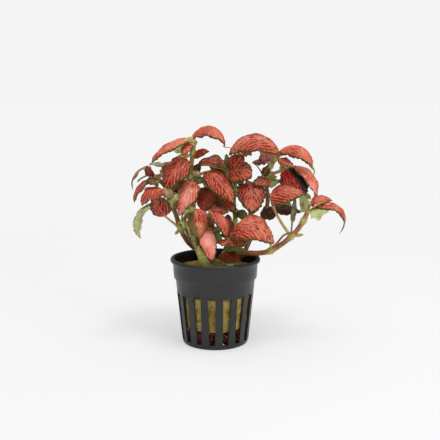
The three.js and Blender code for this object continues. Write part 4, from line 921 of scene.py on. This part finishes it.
def quilting(x, d, half, fineness, size_share, seed):
    """How far the skin puffs up between its veins, sinks along its rib and crumples."""
    near = abs(d)
    along_vein = x - VEIN_SLANT * near - VEIN_BOW * fineness * near * near
    lane = VEIN_SPREAD * fineness * along_vein / VEIN_PITCH
    fade = min(1.0, near / 0.8) * min(1.0, max(0.0, half - near) / 1.2 + 0.25) * min(1.0, half / 2.5)
    puff = QUILT_HEIGHT * (abs(math.sin(math.pi * lane)) ** 0.8 - 0.55) * fade * size_share / fineness
    groove = -GROOVE_DEPTH * math.exp(-(d / 0.5) ** 2) * min(1.0, half / 1.5) * size_share
    crumple = CRUMPLE_HEIGHT * noise.noise(Vector((x * 0.35, d * 0.35, seed))) * min(1.0, half / 3)
    return puff + groove + crumple


class Blades:
    """The points, faces and surface values of the blades of one stem."""
    KINDS = {"vein_place": ("FLOAT_VECTOR", "vector"), "edge_gap": ("FLOAT", "value"),
             "under_face": ("FLOAT", "value"), "vein_hue": ("FLOAT_COLOR", "color"),
             "field_hue": ("FLOAT_COLOR", "color"), "belly_hue": ("FLOAT_COLOR", "color")}

    def __init__(self):
        self.points, self.faces = [], []
        self.values = {name: [] for name in self.KINDS}

    def add(self, leaf, key):
        """Adds one blade. The key of a leaf seeds its own small differences from the others."""
        _, base, tip, width, arch, face, droop, finish = leaf
        rib, left = blade_rib(base, tip, arch, face)
        chance = random.Random(key)
        seed = chance.uniform(0, 50)
        walk = rib_walk(rib)
        length = walk[-1]
        rows = max(14, min(90, round(length / ROW_STEP)))
        columns = max(8, min(40, 2 * round(width / COLUMN_STEP)))
        fineness = VEIN_PITCH / (0.55 + 0.078 * width)
        size_share = min(1.0, width / 10.0)
        full = 1.0 if width > 17.5 else -1.3 if finish == "fine net" else chance.uniform(-0.8, 0.4)
        waviness = 1.0 - max(full, 0.0)
        scallop_share = SCALLOP_SHARES.get(finish, 1.0)
        vein, field, belly, net, margin = FINISHES[finish]
        edge, left_margin, right_margin = EDGE_HUES_AND_SHADED_SIDES.get(finish, (EDGE_GREEN, 1.0, 1.0))
        margin *= min(1.0, 0.2 + width / 11.0)
        upper, lower, vein_place, edge_gap, field_hue = [], [], [], [], []
        for i in range(rows + 1):
            t = 1 - (1 - i / rows) ** 1.12
            spot, heading = along_rib(rib, t)
            up = left.cross(heading).normalized()
            step = round(t * RIB_STEPS)
            x = walk[min(RIB_STEPS, step)] + (t * RIB_STEPS - step) * length / RIB_STEPS
            wave = math.cos(math.pi * (t - 0.1) / WAVE_PITCH)
            half = width / 2 * egg(t, full) * (1 + WAVE_WIDTH * waviness * wave)
            half = max(LEAST_HALF_WIDTHS[0] if t < 0.5 else LEAST_HALF_WIDTHS[1], half)
            for j in range(columns + 1):
                v = 2 * j / columns - 1
                u = math.copysign(abs(v) ** 0.92, v) if v else 0.0
                hand = math.copysign(1.0, v)
                # The scallops of the edge push it out and in.
                beat = (x + 0.4 * half * hand + seed) * math.pi / SCALLOP_PITCH
                uneven = 1 + 0.5 * noise.noise(Vector((x * 0.21, hand * 3.1, seed)))
                lobe = (abs(math.sin(beat)) ** 0.7 - 0.6) * size_share * scallop_share * uneven
                lobe *= min(1.0, half / 3)
                d = u * half + hand * lobe * abs(u) ** 5
                near = abs(d)
                # The blade droops to both sides of its rib, and its sides and edge wave.
                ruffle = RUFFLE_HEIGHT * math.cos(beat * 0.62 + hand + seed) * min(half, 5.0) * abs(u) ** 3
                lift = half * (WAVE_HEIGHT * waviness * wave * hand * abs(u) ** 2.4 - droop * u * u)
                lift += quilting(x, d, half, fineness, size_share, seed) + ruffle
                outward = (up + left * 2 * droop * u).normalized()
                thick = (BLADE_RIM + (BLADE_THICK - BLADE_RIM) * min(1.0, (half - near) / RIM_REACH)) / 2
                keel = KEEL_DEPTH * math.exp(-(d / 0.38) ** 2) * (1 - t) ** 0.7
                at = spot + left * d + up * lift
                upper.append((at + outward * thick) * MM)
                lower.append((at - outward * (thick + keel)) * MM)
                # The skin is painted by its place among the veins, the way to the edge and the edge's width.
                vein_place += [x * fineness, d * fineness, seed]
                edge_gap.append(min(half - near + 0.3 * lobe, 0.55 * (length - x) + 0.1))
                # On a finish's shaded side the edge colour reaches far in past this wandering line, as
                # painted shade.
                side_line = SIDE_LINE + SIDE_LINE_WANDER * noise.noise(Vector((x * 0.5, seed, 0.0)))
                field_hue += [*field, margin * (left_margin if u > side_line else right_margin)]
        self.close(len(self.points), rows, columns)
        self.points += upper + lower
        count = len(upper)
        for under, hue in ((0.0, edge), (1.0, belly)):
            painted = {
                "vein_place": vein_place, "edge_gap": edge_gap, "under_face": [under] * count,
                "vein_hue": [*vein, net] * count, "field_hue": field_hue, "belly_hue": [*hue, 1.0] * count}
            for name, values in painted.items():
                self.values[name] += values

    def close(self, first, rows, columns):
        """Adds the faces of both sides of a blade, and those of the rim between them."""
        def corner(i, j, under=0):
            return first + (under * (rows + 1) + i) * (columns + 1) + j

        def rim(a, b):
            return corner(*a, 1), corner(*b, 1), corner(*b), corner(*a)

        for i in range(rows):
            for j in range(columns):
                around = ((i, j), (i, j + 1), (i + 1, j + 1), (i + 1, j))
                self.faces.append(tuple(corner(*spot) for spot in reversed(around)))
                self.faces.append(tuple(corner(*spot, 1) for spot in around))
            self.faces += [rim((i, 0), (i + 1, 0)), rim((i + 1, columns), (i, columns))]
        for j in range(columns):
            self.faces += [rim((0, j + 1), (0, j)), rim((rows, j), (rows, j + 1))]


def blade_mesh(name, leaves):
    blades = Blades()
    for number, leaf in enumerate(leaves):
        if leaf[3] > BUD_WIDTH:
            blades.add(leaf, f"{name}{number}")
    piece = mesh_object(name, blades.points, blades.faces)
    for value_name, (kind, channel) in Blades.KINDS.items():
        store = piece.data.attributes.new(value_name, kind, "POINT")
        store.data.foreach_set(channel, blades.values[value_name])
    return piece


leaf_skin, tree, shader = new_material("leaf_skin")


def reckon(operation, *values):
    """One step of arithmetic in the skin."""
    return add_node(tree, "ShaderNodeMath", dict(enumerate(values)), operation=operation).outputs["Value"]


def soft_range(value, low, high, start=0.0, end=1.0):
    return in_range(tree, value, (low, high), (start, end), interpolation_type="SMOOTHSTEP")


def surface_value(name, output="Fac"):
    """A value that the blades carry on their points."""
    return add_node(tree, "ShaderNodeAttribute", attribute_name=name).outputs[output]


def toned(hue, value, tones):
    """A colour of the blades, made darker and lighter in patches."""
    return blend(tree, 1.0, surface_value(hue, "Color"), tone_ramp(tree, value, tones), "MULTIPLY")


# The side veins leave the rib and bend towards the tip. Lanes of flesh lie between them, cut by cross veins
# into long dark islands, and the lanes end in the green of the edge.
on_blade = surface_value("vein_place", "Vector")
from_base, from_rib, leaf_seed = add_node(tree, "ShaderNodeSeparateXYZ", {"Vector": on_blade}).outputs
wander = grain(tree, on_blade, Scale=0.55, Detail=2.0)["Amount"]
patchy = grain(tree, on_blade, Scale=0.22)["Amount"]
cloudy = grain(tree, on_blade, Scale=0.12, Detail=2.0)["Amount"]
edge_noise = grain(tree, on_blade, Scale=1.1)["Amount"]
rib_near = reckon("ABSOLUTE", from_rib)
slant = reckon("MULTIPLY", rib_near, -VEIN_SLANT)
bow = reckon("MULTIPLY_ADD", reckon("MULTIPLY", rib_near, rib_near), -VEIN_BOW, slant)
stray = reckon("MULTIPLY_ADD", wander, 1.9, -0.95)
across = reckon("MULTIPLY_ADD", reckon("ADD", from_base, bow), VEIN_SPREAD / VEIN_PITCH, stray)
along = reckon("MULTIPLY_ADD", from_base, 0.3, reckon("MULTIPLY", rib_near, 0.14))
offset = reckon("MULTIPLY_ADD", leaf_seed, 3.7, reckon("MULTIPLY", reckon("SIGN", from_rib), 11.3))
cell_place = add_node(tree, "ShaderNodeCombineXYZ", {"X": reckon("ADD", along, offset), "Y": across})
cell_gap = add_node(
    tree, "ShaderNodeTexVoronoi", feature="DISTANCE_TO_EDGE", voronoi_dimensions="2D",
    inputs={"Vector": cell_place.outputs["Vector"], "Scale": 1.0, "Randomness": 0.8}).outputs["Distance"]
lane_gap = reckon("ABSOLUTE", reckon("SUBTRACT", across, reckon("ROUND", across)))

# The dark net: the islands, wider in patches and near the edge, and none on the rib. Near the edge the wider
# net is partly the leaf's own pattern and partly painted shade.
near_edge = soft_range(surface_value("edge_gap"), 0.4, 3.2, 1.0, 0.0)
grow = reckon("MULTIPLY_ADD", near_edge, 0.10, reckon("MULTIPLY_ADD", patchy, -0.60, 0.31))
in_lane = soft_range(reckon("ADD", lane_gap, grow), 0.31, 0.44)
islands = reckon("MULTIPLY", in_lane, soft_range(cell_gap, 0.06, 0.13))
off_rib = soft_range(rib_near, 0.3, 0.7)
net_share = reckon("MULTIPLY", reckon("MULTIPLY", islands, off_rib), surface_value("vein_hue", "Alpha"))

# The pale parts: the rib, the side veins, and cloudy pale patches beside the rib, which are partly the leaf's
# own paler middle and partly painted light on the blade's raised middle.
rib_share = soft_range(rib_near, 0.12, 0.42, 0.7, 0.0)
side_veins = soft_range(lane_gap, 0.01, 0.19, 1.0, 0.0)
vein_strength = soft_range(rib_near, 0.2, 1.2, 0.4, 1.0)
vein_share = reckon("MULTIPLY", reckon("MULTIPLY", side_veins, vein_strength), 0.8)
pale_and_lit_middle_share = reckon("MULTIPLY", soft_range(rib_near, 0.6, 5.5, 0.55, 0.0), soft_range(cloudy, 0.42, 0.60))
pale_share = reckon("MAXIMUM", reckon("MAXIMUM", vein_share, pale_and_lit_middle_share), rib_share)

# The coloured edge, with teeth that run in between the veins.
edge_teeth = reckon("MULTIPLY_ADD", cell_gap, 1.6, reckon("MULTIPLY_ADD", edge_noise, 0.9, -0.75))
edge_width = reckon("MULTIPLY_ADD", surface_value("field_hue", "Alpha"), 1.2, 0.12)
past_edge = reckon("ADD", reckon("SUBTRACT", edge_width, surface_value("edge_gap")), edge_teeth)
edge_share = soft_range(past_edge, -0.3, 0.25)

flesh, veins = toned("field_hue", cloudy, FLESH_TONES), toned("vein_hue", patchy, VEIN_TONES)
upper = blend(tree, pale_share, flesh, veins)
net_tone = blend(tree, 1.0, surface_value("field_hue", "Color"), NET_SHADE, "MULTIPLY")
upper = blend(tree, net_share, upper, net_tone)
upper = blend(tree, edge_share, upper, surface_value("belly_hue", "Color"))
belly_net = soft_range(cell_gap, 0.03, 0.25, 0.5, 0.0)
belly = blend(tree, belly_net, toned("belly_hue", patchy, BELLY_TONES), surface_value("vein_hue", "Color"))
belly = blend(tree, soft_range(patchy, 0.5, 0.75, 0.0, 0.35), belly, surface_value("field_hue", "Color"))
relief = reckon("MULTIPLY_ADD", islands, 0.6, reckon("MULTIPLY", edge_noise, 0.4))
leaf_relief = add_node(tree, "ShaderNodeBump", {"Strength": 0.5, "Distance": 0.00018, "Height": relief})
feed(tree, shader, {
    "Base Color": blend(tree, surface_value("under_face"), upper, belly), "Specular IOR Level": 0.22,
    "Roughness": soft_range(patchy, 0.3, 0.7, 0.28, 0.42), "Subsurface Weight": 0.15,
    "Subsurface Radius": (0.0011, 0.0006, 0.0003), "Subsurface Scale": 1.0,
    "Normal": leaf_relief.outputs["Normal"]})

for stem_name, (_, _, _, leaves) in STEMS.items():
    blades = blade_mesh(stem_name.replace("stem", "leaves"), leaves)
    blades.data.materials.append(leaf_skin)
    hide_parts(stem_name)
    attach(blades, "root")
